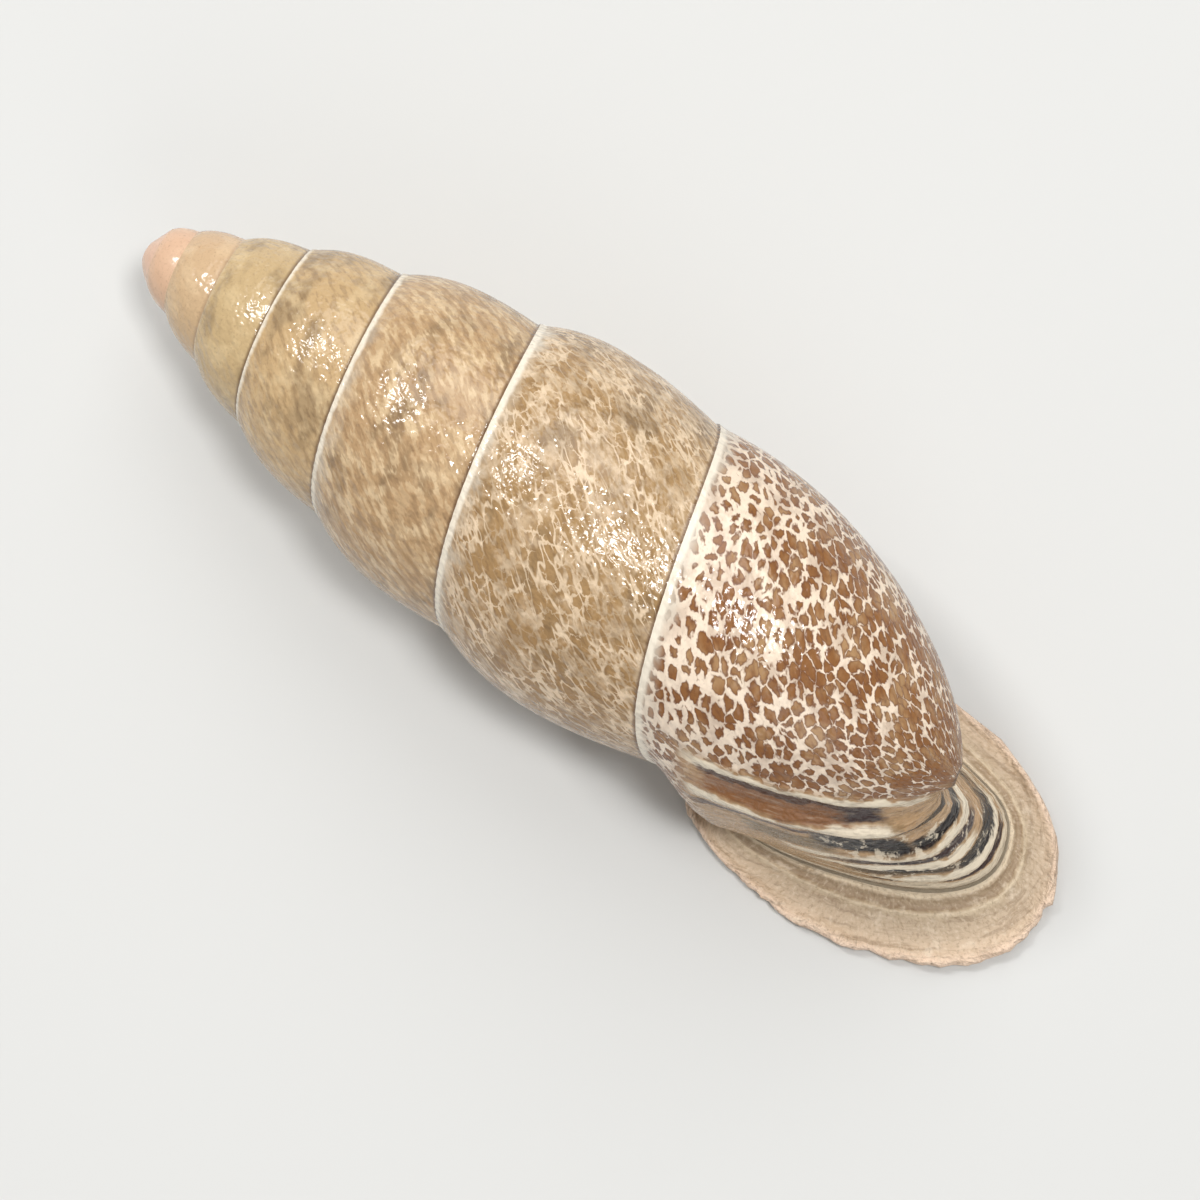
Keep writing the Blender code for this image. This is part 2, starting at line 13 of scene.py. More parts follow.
# %% Load the solid and measure its box
import math
from functools import partialmethod

import bpy
import numpy as np
from mathutils import Matrix, Vector
from mathutils.bvhtree import BVHTree


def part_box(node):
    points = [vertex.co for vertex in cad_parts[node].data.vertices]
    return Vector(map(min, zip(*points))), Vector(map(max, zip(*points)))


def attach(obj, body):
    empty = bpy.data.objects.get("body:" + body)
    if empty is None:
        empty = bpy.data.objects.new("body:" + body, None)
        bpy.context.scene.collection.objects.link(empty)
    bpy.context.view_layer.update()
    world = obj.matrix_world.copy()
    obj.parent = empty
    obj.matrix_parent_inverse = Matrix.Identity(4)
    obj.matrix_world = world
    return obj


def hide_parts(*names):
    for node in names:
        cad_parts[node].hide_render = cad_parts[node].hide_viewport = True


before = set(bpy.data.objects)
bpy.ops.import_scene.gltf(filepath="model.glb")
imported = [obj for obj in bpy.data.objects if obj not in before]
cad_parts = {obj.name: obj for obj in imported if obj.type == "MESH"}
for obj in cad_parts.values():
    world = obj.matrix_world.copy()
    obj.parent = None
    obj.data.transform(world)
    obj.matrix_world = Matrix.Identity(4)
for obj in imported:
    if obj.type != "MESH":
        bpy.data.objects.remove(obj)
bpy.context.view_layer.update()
solid_low, solid_high = (np.array(corner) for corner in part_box("shell"))
MM = 0.001
print("solid box, mm:", np.round((solid_high - solid_low) / MM, 2))

# %% [markdown]
# ## How it lies, and the camera
#
# On a table the real shell rolls onto its lip and the fronts of two whorls, with its back up. The
# photograph looks at the back almost squarely, with the shell turned in the picture. The camera
# could be placed by eye. Here its angles belong to the shell's own frame, so the matrix that lays
# the shell down carries the camera with it, and both stay in step.

# %% Add an object to the scene
def add_object(name, data):
    made = bpy.data.objects.new(name, data)
    bpy.context.scene.collection.objects.link(made)
    return made


# %% How the shell lies
REST_PITCH = math.radians(-4.09)
REST_ROLL = math.radians(1.46)
# The shell's axis lies along +X, its right along +Y and its back upwards.
LYING = Matrix(((0, 0, 1), (1, 0, 0), (0, 1, 0)))
TURNED = Matrix.Rotation(REST_ROLL, 3, "X") @ Matrix.Rotation(REST_PITCH, 3, "Y") @ LYING
print("way of the apex:", np.round(TURNED @ Vector((0, 0, -1)), 3))

# %% The camera
VIEW_TILT = math.radians(7)
VIEW_ROLL = math.radians(33.3)
VIEW_CENTRE = (-1.17, 0.0, 14.0)
VIEW_DISTANCE = 100.7
LENS = 126


def frame_camera(shift):
    """Add the camera. The shift moves a turned point of the shell to its place, in mm."""
    towards = Vector((0, math.cos(VIEW_TILT), math.sin(VIEW_TILT)))
    along = Vector((0, -math.sin(VIEW_TILT), math.cos(VIEW_TILT)))
    across = Vector((1, 0, 0))
    right = across * math.sin(VIEW_ROLL) + along * math.cos(VIEW_ROLL)
    up = across * math.cos(VIEW_ROLL) - along * math.sin(VIEW_ROLL)
    axes = [TURNED @ axis for axis in (right, up, towards)]
    place = TURNED @ Vector(VIEW_CENTRE) + Vector(shift) + axes[2] * VIEW_DISTANCE
    data = bpy.data.cameras.new("view")
    data.lens = LENS
    data.clip_start = 0.01
    camera = add_object("view", data)
    rotation = Matrix([axis[:] for axis in axes]).transposed().to_4x4()
    camera.matrix_world = Matrix.Translation(place * MM) @ rotation
    bpy.context.scene.camera = camera


# %% [markdown]
# ## Sockets that read as arithmetic
#
# The pattern of the shell and the form of its whorls are both formulas. Nodes can be added one by
# one, but a formula is then lost in links. So one small class wraps a socket, and its operators
# add Math nodes. One method adds every other node: first its settings, then its inputs.

# %% A socket as a term of a formula
class Term:
    """An output socket, with the arithmetic of the Math node."""

    def __init__(self, graph, socket):
        self.graph = graph
        self.socket = socket

    def math(self, operation, *others):
        values = dict(enumerate((self, *others)))
        return self.graph.add("ShaderNodeMath", {"operation": operation}, values)

    def reflected(self, operation, first):
        return self.graph.add("ShaderNodeMath", {"operation": operation}, {0: first, 1: self})

    __add__ = __radd__ = partialmethod(math, "ADD")
    __mul__ = __rmul__ = partialmethod(math, "MULTIPLY")
    __sub__ = partialmethod(math, "SUBTRACT")
    __rsub__ = partialmethod(reflected, "SUBTRACT")
    __truediv__ = partialmethod(math, "DIVIDE")
    __rtruediv__ = partialmethod(reflected, "DIVIDE")
    floor = partialmethod(math, "FLOOR")
    sine = partialmethod(math, "SINE")
    cosine = partialmethod(math, "COSINE")
    size = partialmethod(math, "ABSOLUTE")
    exponential = partialmethod(math, "EXPONENT")

    def rise(self, low, high, start=0.0, end=1.0):
        """Go smoothly from the start at low to the end at high."""
        inputs = {"Value": self, "From Min": low, "From Max": high, "To Min": start, "To Max": end}
        return self.graph.add("ShaderNodeMapRange", {"interpolation_type": "SMOOTHSTEP"}, inputs)

    def fall(self, low, high):
        return self.rise(low, high, 1.0, 0.0)


# %% A node tree
class Graph:
    """A node tree, and the ways to add nodes to it."""

    def __init__(self, tree):
        self.tree = tree

    def feed(self, node, inputs):
        """Set or link a node's inputs."""
        for key, value in inputs.items():
            if isinstance(value, Term):
                self.tree.links.new(value.socket, node.inputs[key])
            else:
                node.inputs[key].default_value = value

    def add(self, kind, settings, inputs, output=0):
        """Add a node with these settings and inputs, and return one of its outputs."""
        node = self.tree.nodes.new(kind)
        for name, value in settings.items():
            if name == "stops":
                elements = node.color_ramp.elements
                while len(elements) < len(value):
                    elements.new(1.0)
                for element, (place, shade) in zip(elements, value):
                    element.position = place
                    element.color = shade
            else:
                setattr(node, name, value)
        self.feed(node, inputs)
        return None if output is None else Term(self, node.outputs[output])

    def attribute(self, name):
        return self.add("ShaderNodeAttribute", {"attribute_name": name}, {}, "Fac")

    def vector(self, x, y, z=0.0):
        return self.add("ShaderNodeCombineXYZ", {}, {0: x, 1: y, 2: z})

    def parts(self, vector):
        """The x and y of a vector."""
        x = self.add("ShaderNodeSeparateXYZ", {}, {0: vector})
        return x, Term(self, x.socket.node.outputs[1])

    def shifted(self, vector, wander, amount):
        """Move a vector by a colour noise, whose middle is a half, times an amount."""
        middle = (0.5, 0.5, 0.5)
        offset = self.add("ShaderNodeVectorMath", {"operation": "SUBTRACT"}, {0: wander, 1: middle})
        inputs = {0: offset, 1: (amount,) * 3, 2: vector}
        return self.add("ShaderNodeVectorMath", {"operation": "MULTIPLY_ADD"}, inputs)

    def noise(self, vector, scale, detail=2.0, roughness=0.5, output="Fac"):
        inputs = {"Vector": vector, "Scale": scale, "Detail": detail, "Roughness": roughness}
        return self.add("ShaderNodeTexNoise", {}, inputs, output)

    def cells(self, vector, feature):
        settings = {"voronoi_dimensions": "2D", "feature": feature}
        inputs = {"Vector": vector, "Scale": 1.0}
        return self.add("ShaderNodeTexVoronoi", settings, inputs, "Distance")

    def layers(self, colour, *layers):
        """Lay colours over a colour. Each layer is its share and its colour."""
        settings = {"data_type": "RGBA"}
        for share, over in layers:
            colour = self.add("ShaderNodeMix", settings, {"Factor": share, 6: colour, 7: over}, 2)
        return colour

    def ramp(self, value, stops):
        """A colour for a value, through stops of (value, red, green, blue)."""
        low, high = stops[0][0], stops[-1][0]
        scaled = [((place - low) / (high - low), paint(*shade)) for place, *shade in stops]
        share = (value - low) / (high - low)
        return self.add("ShaderNodeValToRGB", {"stops": scaled}, {"Fac": share}, "Color")


# %% [markdown]
# ## The curves that the shell grows along
#
# On the real shell a fine line, the suture, shows where each whorl meets the one before. It could
# be drawn as a Bezier curve by hand. A table is easier to correct: at each turn it gives the
# suture's drop below the apex and its radius from the axis, and a smooth curve runs through the
# stations. A turn counts whole whorls. At turns 0, 1, 2 ... the coil passes the middle of the
# back, and it grows towards the left.

# %% A natural cubic curve
def natural_curve(stations):
    """Return the natural cubic curve through stations of (position, value, ...)."""
    table = np.array(stations, float)
    x = table[:, 0]
    y = table[:, 1:]
    step = np.diff(x)
    last = len(x) - 1
    system = np.eye(last + 1)
    known = np.zeros_like(y)
    for i in range(1, last):
        system[i, i - 1:i + 2] = step[i - 1], 2 * (step[i - 1] + step[i]), step[i]
        known[i] = 6 * ((y[i + 1] - y[i]) / step[i] - (y[i] - y[i - 1]) / step[i - 1])
    bend = np.linalg.solve(system, known)

    def curve(position):
        position = np.asarray(position, float)
        i = np.clip(np.searchsorted(x, position) - 1, 0, last - 1)
        past = (position - x[i])[..., None]
        left = (x[i + 1] - position)[..., None]
        width = step[i][..., None]
        cubes = (bend[i] * left ** 3 + bend[i + 1] * past ** 3) / (6 * width)
        start = (y[i] / width - bend[i] * width / 6) * left
        end = (y[i + 1] / width - bend[i + 1] * width / 6) * past
        return cubes + start + end

    return curve


# %% The suture, as (turn, drop, radius)
SUTURE = (
    (-1.3, 0.00, 0.00),
    (-0.9, 0.03, 0.33),
    (-0.5, 0.15, 0.58),
    (0.0, 0.38, 0.76),
    (0.5, 0.66, 0.90),
    (1.5, 1.60, 1.28),
    (2.5, 3.03, 1.91),
    (3.5, 4.97, 2.58),
    (4.5, 8.13, 3.37),
    (5.5, 12.64, 3.87),
    (6.5, 18.78, 3.65),
)
FIRST_TURN = SUTURE[0][0]
LIP_TURN = 6.42
suture_at = natural_curve(SUTURE)
print("drop and radius at the lip, mm:", np.round(suture_at(LIP_TURN), 2))

# %% [markdown]
# The last whorl has no whorl below it. Its face ends on a lower edge of its own, which drops from
# the line of the suture to the base of the shell. The callus is the glaze that the snail lays on
# the first part of this edge, beside its mouth. Behind it, a narrow chink stays open.

# %% The lower edge of the last whorl, as (turn, drop, radius)
LOWER_EDGE = (
    (5.42, 18.27, 3.66),
    (5.47, 18.10, 3.70),
    (5.52, 18.55, 3.60),
    (5.56, 19.75, 3.12),
    (5.585, 21.35, 2.26),
    (5.61, 22.40, 1.31),
    (5.66, 23.00, 0.66),
    (5.75, 23.28, 0.42),
    (5.90, 23.42, 0.34),
    (6.14, 23.50, 0.30),
)
CALLUS_END = 5.56
CHINK_TIP = 5.85
BASE_FULL_TURN = 5.66
NECK_TURN = 6.14
lower_edge_at = natural_curve(LOWER_EDGE)
face_height = lower_edge_at(5.9)[0] - suture_at(5.9)[0]
print("height of the last whorl's face, mm:", np.round(face_height, 2))


# %% Small functions
def smooth_step(low, high, x):
    share = np.clip((x - low) / (high - low), 0, 1)
    return share * share * (3 - 2 * share)


def bell(x):
    return np.exp(-x * x)


def mix(first, second, share):
    return first * (1 - share) + second * share


def unit(vectors):
    return vectors / np.maximum(np.linalg.norm(vectors, axis=-1, keepdims=True), 1e-9)


def column_of(values):
    return np.asarray(values)[:, None]


def on_coil(turn, drop, radius):
    """Return the point at a radius from the axis, on the side that the coil has reached."""
    angle = 2 * math.pi * turn
    return np.stack(np.broadcast_arrays(-radius * np.sin(angle), radius * np.cos(angle), drop), -1)


def ripple(values, seed, waves=(1.0, 2.3, 4.1, 7.7)):
    """A wavy number between about -1 and 1, the same each time."""
    phases = np.random.default_rng(seed).uniform(0, 2 * math.pi, len(waves))
    parts = [np.sin(values * wave + phase) / wave ** 0.5 for wave, phase in zip(waves, phases)]
    return sum(parts) / 1.8


# %% The grid: columns along the coil, and rows down each whorl
COLUMNS_PER_TURN = 200
ROWS = 40
even = np.linspace(0, 1, ROWS + 1)
# Rows lie closer together near both sutures.
SHARES = (even + 3 * even ** 2 - 2 * even ** 3) / 2


def column_number(turn):
    return round((turn - FIRST_TURN) * COLUMNS_PER_TURN)


print("columns up to the lip:", column_number(LIP_TURN))

# %% [markdown]
# ## The whorls, by Geometry Nodes
#
# A whorl bulges between two sutures, and just below the upper one runs a raised thread, which
# swells into beads on the later whorls. The form follows a rule, so a node tree suits it: its
# named inputs can be tried in the modifier panel. The guide below has one point per column. Each
# point carries its turn and the two ends of the whorl's profile. The tree lays a grid over them,
# and bends each column to a cubic curve.

# %% The guide line
def guide_mesh():
    turns = FIRST_TURN + np.arange(column_number(NECK_TURN) + 1) / COLUMNS_PER_TURN
    top = suture_at(turns)
    on_body = turns > LIP_TURN - 1 + 1e-9
    low = np.where(column_of(on_body), lower_edge_at(np.clip(turns, LIP_TURN - 1, NECK_TURN)),
                   suture_at(np.minimum(turns, LIP_TURN - 1) + 1))
    mesh = bpy.data.meshes.new("guide")
    mesh.from_pydata(on_coil(turns, top[:, 0], top[:, 1]).tolist(), [], [])
    columns = {
        "turn": turns,
        "top drop": top[:, 0],
        "top radius": top[:, 1],
        "low drop": low[:, 0],
        "low radius": low[:, 1],
        "base": smooth_step(LIP_TURN - 1, BASE_FULL_TURN, turns),
    }
    for name, values in columns.items():
        mesh.attributes.new(name, "FLOAT", "POINT").data.foreach_set("value", values)
    return mesh


# %% The tree's inputs: sizes in millimetres, or as shares of the whorl's height
WHORL_INPUTS = (
    ("Rows", "NodeSocketInt", ROWS),
    ("Shoulder out", "NodeSocketFloat", 0.165),
    ("Lower out", "NodeSocketFloat", 0.07),
    ("Base extra out", "NodeSocketFloat", 0.015),
    ("Base shoulder down", "NodeSocketFloat", 0.15),
    ("Base lower down", "NodeSocketFloat", 0.20),
    ("Thread height", "NodeSocketFloat", 0.04),
    ("Thread width", "NodeSocketFloat", 0.10),
    ("Beads per turn", "NodeSocketFloat", 74.0),
    ("Wrinkle height", "NodeSocketFloat", 0.03),
    ("Wrinkle seed", "NodeSocketFloat", 3.0),
)


# %% The profile of a whorl
def whorl_profile(given, v, top, low, base):
    """Drop and radius on a cubic curve between the sutures, at the share v of the way down."""
    w = 1 - v
    length = low[0] - top[0]
    shoulder_out = given["Shoulder out"] + base * given["Base extra out"]
    upper_shift = base * given["Base shoulder down"], shoulder_out
    lower_shift = base * given["Base lower down"], given["Lower out"]
    profile = []
    for start, end, upper_by, lower_by in zip(top, low, upper_shift, lower_shift):
        upper = start * 0.7 + end * 0.3 + length * upper_by
        lower = start * 0.3 + end * 0.7 + length * lower_by
        upper_half = w * w * w * start + 3 * w * w * v * upper
        profile.append(upper_half + 3 * w * v * v * lower + v * v * v * end)
    return profile


def whorl_relief(graph, given, turn, v, length):
    """Height of the thread and of the growth wrinkles, which fade towards both sutures."""
    depth = v * length / given["Thread width"]
    beads = 1 + 0.4 * (turn * given["Beads per turn"] * (2 * math.pi)).sine() * turn.rise(2.5, 4)
    thread = (0 - depth * depth).exponential() * turn.rise(1.2, 3) * beads * given["Thread height"]
    place = graph.vector(turn * 26, v * length * 0.35, given["Wrinkle seed"])
    wave = (graph.noise(place, 1.0) - 0.5) * given["Wrinkle height"]
    return thread + wave * (4 * v * (1 - v)) * turn.rise(0.5, 3)


# %% The tree
def whorl_tree():
    """Build the tree that makes the whorls from the guide."""
    tree = bpy.data.node_groups.new("whorls", "GeometryNodeTree")
    tree.interface.new_socket("Guide", in_out="INPUT", socket_type="NodeSocketGeometry")
    for name, kind, value in WHORL_INPUTS:
        tree.interface.new_socket(name, in_out="INPUT", socket_type=kind).default_value = value
    tree.interface.new_socket("Material", in_out="INPUT", socket_type="NodeSocketMaterial")
    tree.interface.new_socket("Whorls", in_out="OUTPUT", socket_type="NodeSocketGeometry")
    graph = Graph(tree)
    first_input = graph.add("NodeGroupInput", {}, {})
    given = {s.name: Term(graph, s) for s in first_input.socket.node.outputs if s.name}

    guide = given["Guide"]
    columns = graph.add("GeometryNodeAttributeDomainSize", {}, {0: guide})
    height = given["Rows"] + 1
    grid = graph.add("GeometryNodeMeshGrid", {}, {"Vertices X": columns, "Vertices Y": height})
    index = graph.add("GeometryNodeInputIndex", {}, {})
    column = ((index + 0.5) / height).floor()
    step = (index - column * height) / given["Rows"]

    def sampled(name):
        value = graph.add("GeometryNodeInputNamedAttribute", {"data_type": "FLOAT"}, {"Name": name})
        inputs = {"Geometry": guide, "Value": value, "Index": column}
        return graph.add("GeometryNodeSampleIndex", {"data_type": "FLOAT"}, inputs)

    turn = sampled("turn")
    top = sampled("top drop"), sampled("top radius")
    low = sampled("low drop"), sampled("low radius")
    v = (step + 3 * step * step - 2 * step * step * step) / 2
    drop, radius = whorl_profile(given, v, top, low, sampled("base"))
    radius = radius + whorl_relief(graph, given, turn, v, low[0] - top[0])
    angle = turn * (2 * math.pi)
    position = graph.vector(0 - radius * angle.sine(), radius * angle.cosine(), drop)

    whorls = graph.add("GeometryNodeSetPosition", {}, {"Geometry": grid, "Position": position})
    whorls = graph.add("GeometryNodeRealizeInstances", {}, {"Geometry": whorls})
    inputs = {"Geometry": whorls, "Material": given["Material"]}
    whorls = graph.add("GeometryNodeSetMaterial", {}, inputs)
    graph.add("NodeGroupOutput", {}, {"Whorls": whorls}, None)
    return tree


# %% Run the tree on the guide
skin_finish = bpy.data.materials.new("shell skin")


def grown_whorls():
    """Run the tree on the guide, and return the points of each column."""
    guide = add_object("guide", guide_mesh())
    modifier = guide.modifiers.new("whorls", "NODES")
    modifier.node_group = whorl_tree()
    named = {name: value for name, _, value in WHORL_INPUTS} | {"Material": skin_finish}
    for item in modifier.node_group.interface.items_tree:
        if item.in_out == "INPUT" and item.name in named:
            modifier[item.identifier] = named[item.name]
    grown = guide.evaluated_get(bpy.context.evaluated_depsgraph_get())
    mesh = bpy.data.meshes.new_from_object(grown)
    points = np.empty(len(mesh.vertices) * 3)
    mesh.vertices.foreach_get("co", points)
    guide.modifiers.remove(modifier)
    bpy.data.objects.remove(guide)
    bpy.data.meshes.remove(mesh)
    return points.reshape(-1, ROWS + 1, 3)


coil = grown_whorls()
print("columns and rows of the whorls:", coil.shape[:2])


# %% Read a column off the whorls
def whorl_points(turn, shares):
    """Points down the whorl's outer face at one turn, read off the grown whorls."""
    place = (turn - FIRST_TURN) * COLUMNS_PER_TURN
    first = min(int(place), len(coil) - 2)
    column = mix(coil[first], coil[first + 1], place - first)
    return np.stack([np.interp(shares, SHARES, column[:, i]) for i in range(3)], -1)


# %% [markdown]
# ## The outlines of the lip
#
# The mouth of the real shell flares into a wide flat lip. Seen from the front, its rim and its
# root, where it leaves the neck, are two ovals in one plane. A Bezier circle could be stretched to
# each of them. A formula is chosen, because the neck's rows must know at which angle they arrive.

# %% Ovals in the plane of the mouth: middle as (right, drop), half sizes and tilt
RIM_CENTRE = (-1.754, 21.65)
RIM_HALF_HEIGHT = 5.36
RIM_HALF_WIDTH = 3.425
ROOT_CENTRE = (-1.85, 21.757)
ROOT_HALF_HEIGHT = 3.642
ROOT_HALF_WIDTH = 1.758
ROOT_TILT = math.radians(17.4)
ROOT_EXPONENT = 2.43


def oval(degrees, centre, half_height, half_width, tilt=0.0, exponent=2.0):
    """Points (right, drop) of an oval at angles from its top, anticlockwise."""
    cosine = np.cos(np.radians(degrees))
    sine = np.sin(np.radians(degrees))
    reach = (np.abs(cosine) ** exponent + np.abs(sine) ** exponent) ** (-1 / exponent)
    down = np.array([math.sin(tilt), math.cos(tilt)])
    across = np.array([math.cos(tilt), -math.sin(tilt)])
    return np.array(centre) - column_of(half_height * cosine * reach) * down \
        - column_of(half_width * sine * reach) * across


# %% The plane of the mouth, and how far behind it the rim and the root lie
PLANE_DROP = 22.13
PLANE_FRONT = 4.65
PLANE_SLOPE = 0.10
RIM_DEPTH = 0.20
ROOT_DEPTH = 0.62


def mouth_plane(drop):
    return -(PLANE_FRONT + (drop - PLANE_DROP) * PLANE_SLOPE)


# %% Where a row of the sheet ends: its share, and its angles from the top on the root and the rim
ROW_ENDS = (
    (0, 14, 30), (0.1, 34, 54), (0.34, 78, 86), (0.57, 122, 140),
    (0.75, 168, 183), (0.85, 208, 222), (0.92, 238, 254), (1, 275, 296),
)
row_ends_at = natural_curve(ROW_ENDS)
LIP_TOP = on_coil(LIP_TURN, *suture_at(LIP_TURN))
LIP_END = on_coil(CALLUS_END, *lower_edge_at(CALLUS_END))
print("ends of the outer lip, mm:", np.round(LIP_TOP, 2), np.round(LIP_END, 2))


def lip_lines(shares):
    """Return the root and the rim of the outer lip, where each row of the sheet meets them."""
    root_angles, rim_angles = row_ends_at(shares).T
    flat = oval(root_angles, ROOT_CENTRE, ROOT_HALF_HEIGHT, ROOT_HALF_WIDTH,
                ROOT_TILT, ROOT_EXPONENT)
    root = np.stack([flat[:, 0], mouth_plane(flat[:, 1]) + ROOT_DEPTH, flat[:, 1]], -1)
    root = mix(LIP_TOP, root, column_of(smooth_step(0, 0.16, shares)))
    root = mix(root, LIP_END, column_of(smooth_step(0.87, 1, shares)))

    flat = oval(rim_angles, RIM_CENTRE, RIM_HALF_HEIGHT, RIM_HALF_WIDTH)
    depth = mouth_plane(flat[:, 1]) + RIM_DEPTH
    depth = mix(depth, LIP_END[1] - 0.2, smooth_step(246, 296, rim_angles))
    rim = np.stack([flat[:, 0], depth, flat[:, 1]], -1)
    rim_top = LIP_TOP + np.array([-0.02, -0.16, -0.04])
    rim_end = LIP_END + np.array([0.12, -0.15, -0.05])
    rim = mix(rim_top, rim, column_of(smooth_step(-0.01, 0.075, shares)))
    rim = mix(rim, rim_end, column_of(smooth_step(0.9, 1, shares)))
    return root, rim


# %% [markdown]
# ## The neck
#
# Near the end of its growth the snail draws its tube in to a narrow neck and turns it forwards.
# The growth lines leave the planes through the axis there, so the whorls' tree can't go on. A
# Bridge Edge Loops would join the last column to the root, but blindly. Here each row is a cubic
# curve with a direction at both ends, and ridges and furrows are then raised across the rows.

# %% The smooth neck
def neck_sheet(growth, shares):
    """Points of the neck, from the last straight column (growth 0) to the lip's root (1)."""
    start = whorl_points(NECK_TURN, shares)
    coil_way = unit(start - whorl_points(NECK_TURN - 0.02, shares))
    end, _ = lip_lines(shares)
    length = column_of(np.linalg.norm(end - start, axis=1))

    near_axis = column_of(smooth_step(0.72, 1, shares))
    leave = unit(mix(coil_way, np.array([0.0, -1.0, 0.15]), near_axis))
    columella = column_of(smooth_step(0.9, 1, shares))
    arrive = unit(mix(np.array([0.0, -1.0, 0.0]), np.array([0.5, -0.45, -0.8]), columella))
    below_suture = column_of(smooth_step(0, 0.2, shares))
    arrive = unit(mix(np.array([0.55, -0.75, 0.25]), arrive, below_suture))

    g = np.asarray(growth, float)[:, None, None]
    sheet = (2 * g ** 3 - 3 * g ** 2 + 1) * start + (g ** 3 - 2 * g ** 2 + g) * leave * length
    sheet = sheet + (3 * g ** 2 - 2 * g ** 3) * end + (g ** 3 - g ** 2) * arrive * length

    # The top row stays on the suture, and pulls the rows below it along.
    turns = NECK_TURN + (LIP_TURN - NECK_TURN) * g[:, 0, 0]
    suture = np.array([on_coil(turn, *suture_at(turn)) for turn in turns])
    pull = (1 - smooth_step(0, 0.3, shares))[None, :, None]
    return sheet + pull * (suture[:, None, :] - sheet[:, :1, :])


# %% Growth ridges across the neck: place along it, width, height, share of it on the upper half
NECK_RIDGES = (
    (0.045, 0.022, 0.06, 1.0),
    (0.245, 0.032, 0.11, 1.0),
    (0.520, 0.030, 0.18, 0.0),
    (0.600, 0.016, 0.06, 0.0),
    (0.680, 0.022, 0.12, 0.0),
    (0.830, 0.026, 0.17, 0.0),
    (0.910, 0.014, 0.06, 0.2),
)
BAND_DEPTH = 0.07
FURROW_DEPTH = 0.26


def neck_relief(growth, shares):
    """Height of the neck's ridges and furrows over its smooth form."""
    g = column_of(growth) + 0.012 * ripple(shares * 9, 5)[None, :]
    lower_half = smooth_step(0.4, 0.62, shares)[None, :]
    height = -BAND_DEPTH * smooth_step(0.06, 0.09, g) * (1 - smooth_step(0.17, 0.21, g))
    furrow = smooth_step(0.27, 0.36, g) * (1 - smooth_step(0.86, 1, g))
    height = height - FURROW_DEPTH * furrow * mix(0.35, 1, lower_half)
    for place, width, ridge, upper_share in NECK_RIDGES:
        height = height + ridge * bell((g - place) / width) * mix(upper_share, 1, lower_half)
    fade = smooth_step(0.12, 0.3, shares) * (1 - smooth_step(0.72, 0.9, shares))
    return height * fade[None, :]


# %% The neck with its relief
def neck_points():
    """All columns of the neck after the last straight one, with their relief."""
    growth = np.linspace(0, 1, column_number(LIP_TURN) - column_number(NECK_TURN) + 1)
    neck = neck_sheet(growth, SHARES)
    outward = unit(np.cross(np.gradient(neck, axis=0), np.gradient(neck, axis=1)))
    from_axis = neck[:, ROWS // 2] * np.array([1.0, 1.0, 0.0])
    if (outward[:, ROWS // 2] * from_axis).sum() < 0:
        outward = -outward
    neck = neck + outward * neck_relief(growth, SHARES)[..., None]
    return neck[1:], growth[1:]


# %% [markdown]
# ## The inside of the tube
#
# Behind the mouth the real tube winds on round its pillar, the columella. Only its first half
# whorl can be seen, so only that is made. A Solidify modifier would give the shell an inner wall,
# but its walls would cut through each other where whorls touch. So rings are laid along the tube:
# each follows the outer face on one side and the wall of the whorl before on the other, drawn in
# by the thickness of the shell.

# %% The wall between the mouth and the whorl before it
COLUMELLA_RADIUS = 0.7
WALL_INSIDE_SUTURE = 0.3
CORE_HEIGHT = 3.0
CORE_EXPONENT = 1.8


def core_radius(turn, drop):
    """Distance from the axis to the wall between the mouth and the whorl before it."""
    suture = suture_at(turn)
    down = np.clip((drop - suture[..., 0] + 0.15) / CORE_HEIGHT, 0, 1)
    top = suture[..., 1] - WALL_INSIDE_SUTURE
    return mix(COLUMELLA_RADIUS, top, (1 - down ** CORE_EXPONENT) ** (1 / CORE_EXPONENT))


def on_core(flat, lift):
    """Put points (right, drop) on the front of the wall, raised towards the mouth by lift."""
    right = flat[:, 0]
    drop = flat[:, 1]
    radius = np.full(len(right), 3.4)
    for _ in range(6):
        angle = math.pi + np.arcsin(np.clip(right / radius, -0.98, 0.98))
        radius = np.maximum(core_radius(6 + angle / (2 * math.pi), drop), np.abs(right) * 1.05)
    depth = np.sqrt(np.maximum(radius ** 2 - right ** 2, 0.05))
    return np.stack([right, -depth - lift, drop], -1)


# %% The edge where the flange turns into the tube
WALL = 0.32
EDGE_FRONT = 2.3


def relax(ring, rounds):
    """Smooth a closed ring by moving each point towards its neighbours."""
    for _ in range(rounds):
        ring = ring / 2 + (np.roll(ring, 1, 0) + np.roll(ring, -1, 0)) / 4
    return ring


def mouth_edge(angles):
    """The ring where the flange turns into the tube."""
    flat = oval(angles, ROOT_CENTRE, ROOT_HALF_HEIGHT - WALL - 0.04, ROOT_HALF_WIDTH - WALL,
                ROOT_TILT, ROOT_EXPONENT)
    callus = smooth_step(232, 300, angles) - 0.45 * smooth_step(345, 374, angles)
    corner = 0.55 * (1 - smooth_step(14, 44, angles))
    on_whorl = np.where(angles > 180, callus, corner)
    lip_depth = mouth_plane(flat[:, 1]) + ROOT_DEPTH
    wall_depth = np.minimum(on_core(flat, 0.14)[:, 1], -EDGE_FRONT)
    depth = mix(lip_depth, wall_depth, on_whorl)
    return relax(np.stack([flat[:, 0], depth, flat[:, 1]], -1), 14)


# %% Rings inside the tube: their number, first depth and reach in neck lengths, and taper
INNER_RINGS = 18
FIRST_DEPTH = 0.12
TUBE_DEPTH = 2.1
TUBE_TAPER = 0.55


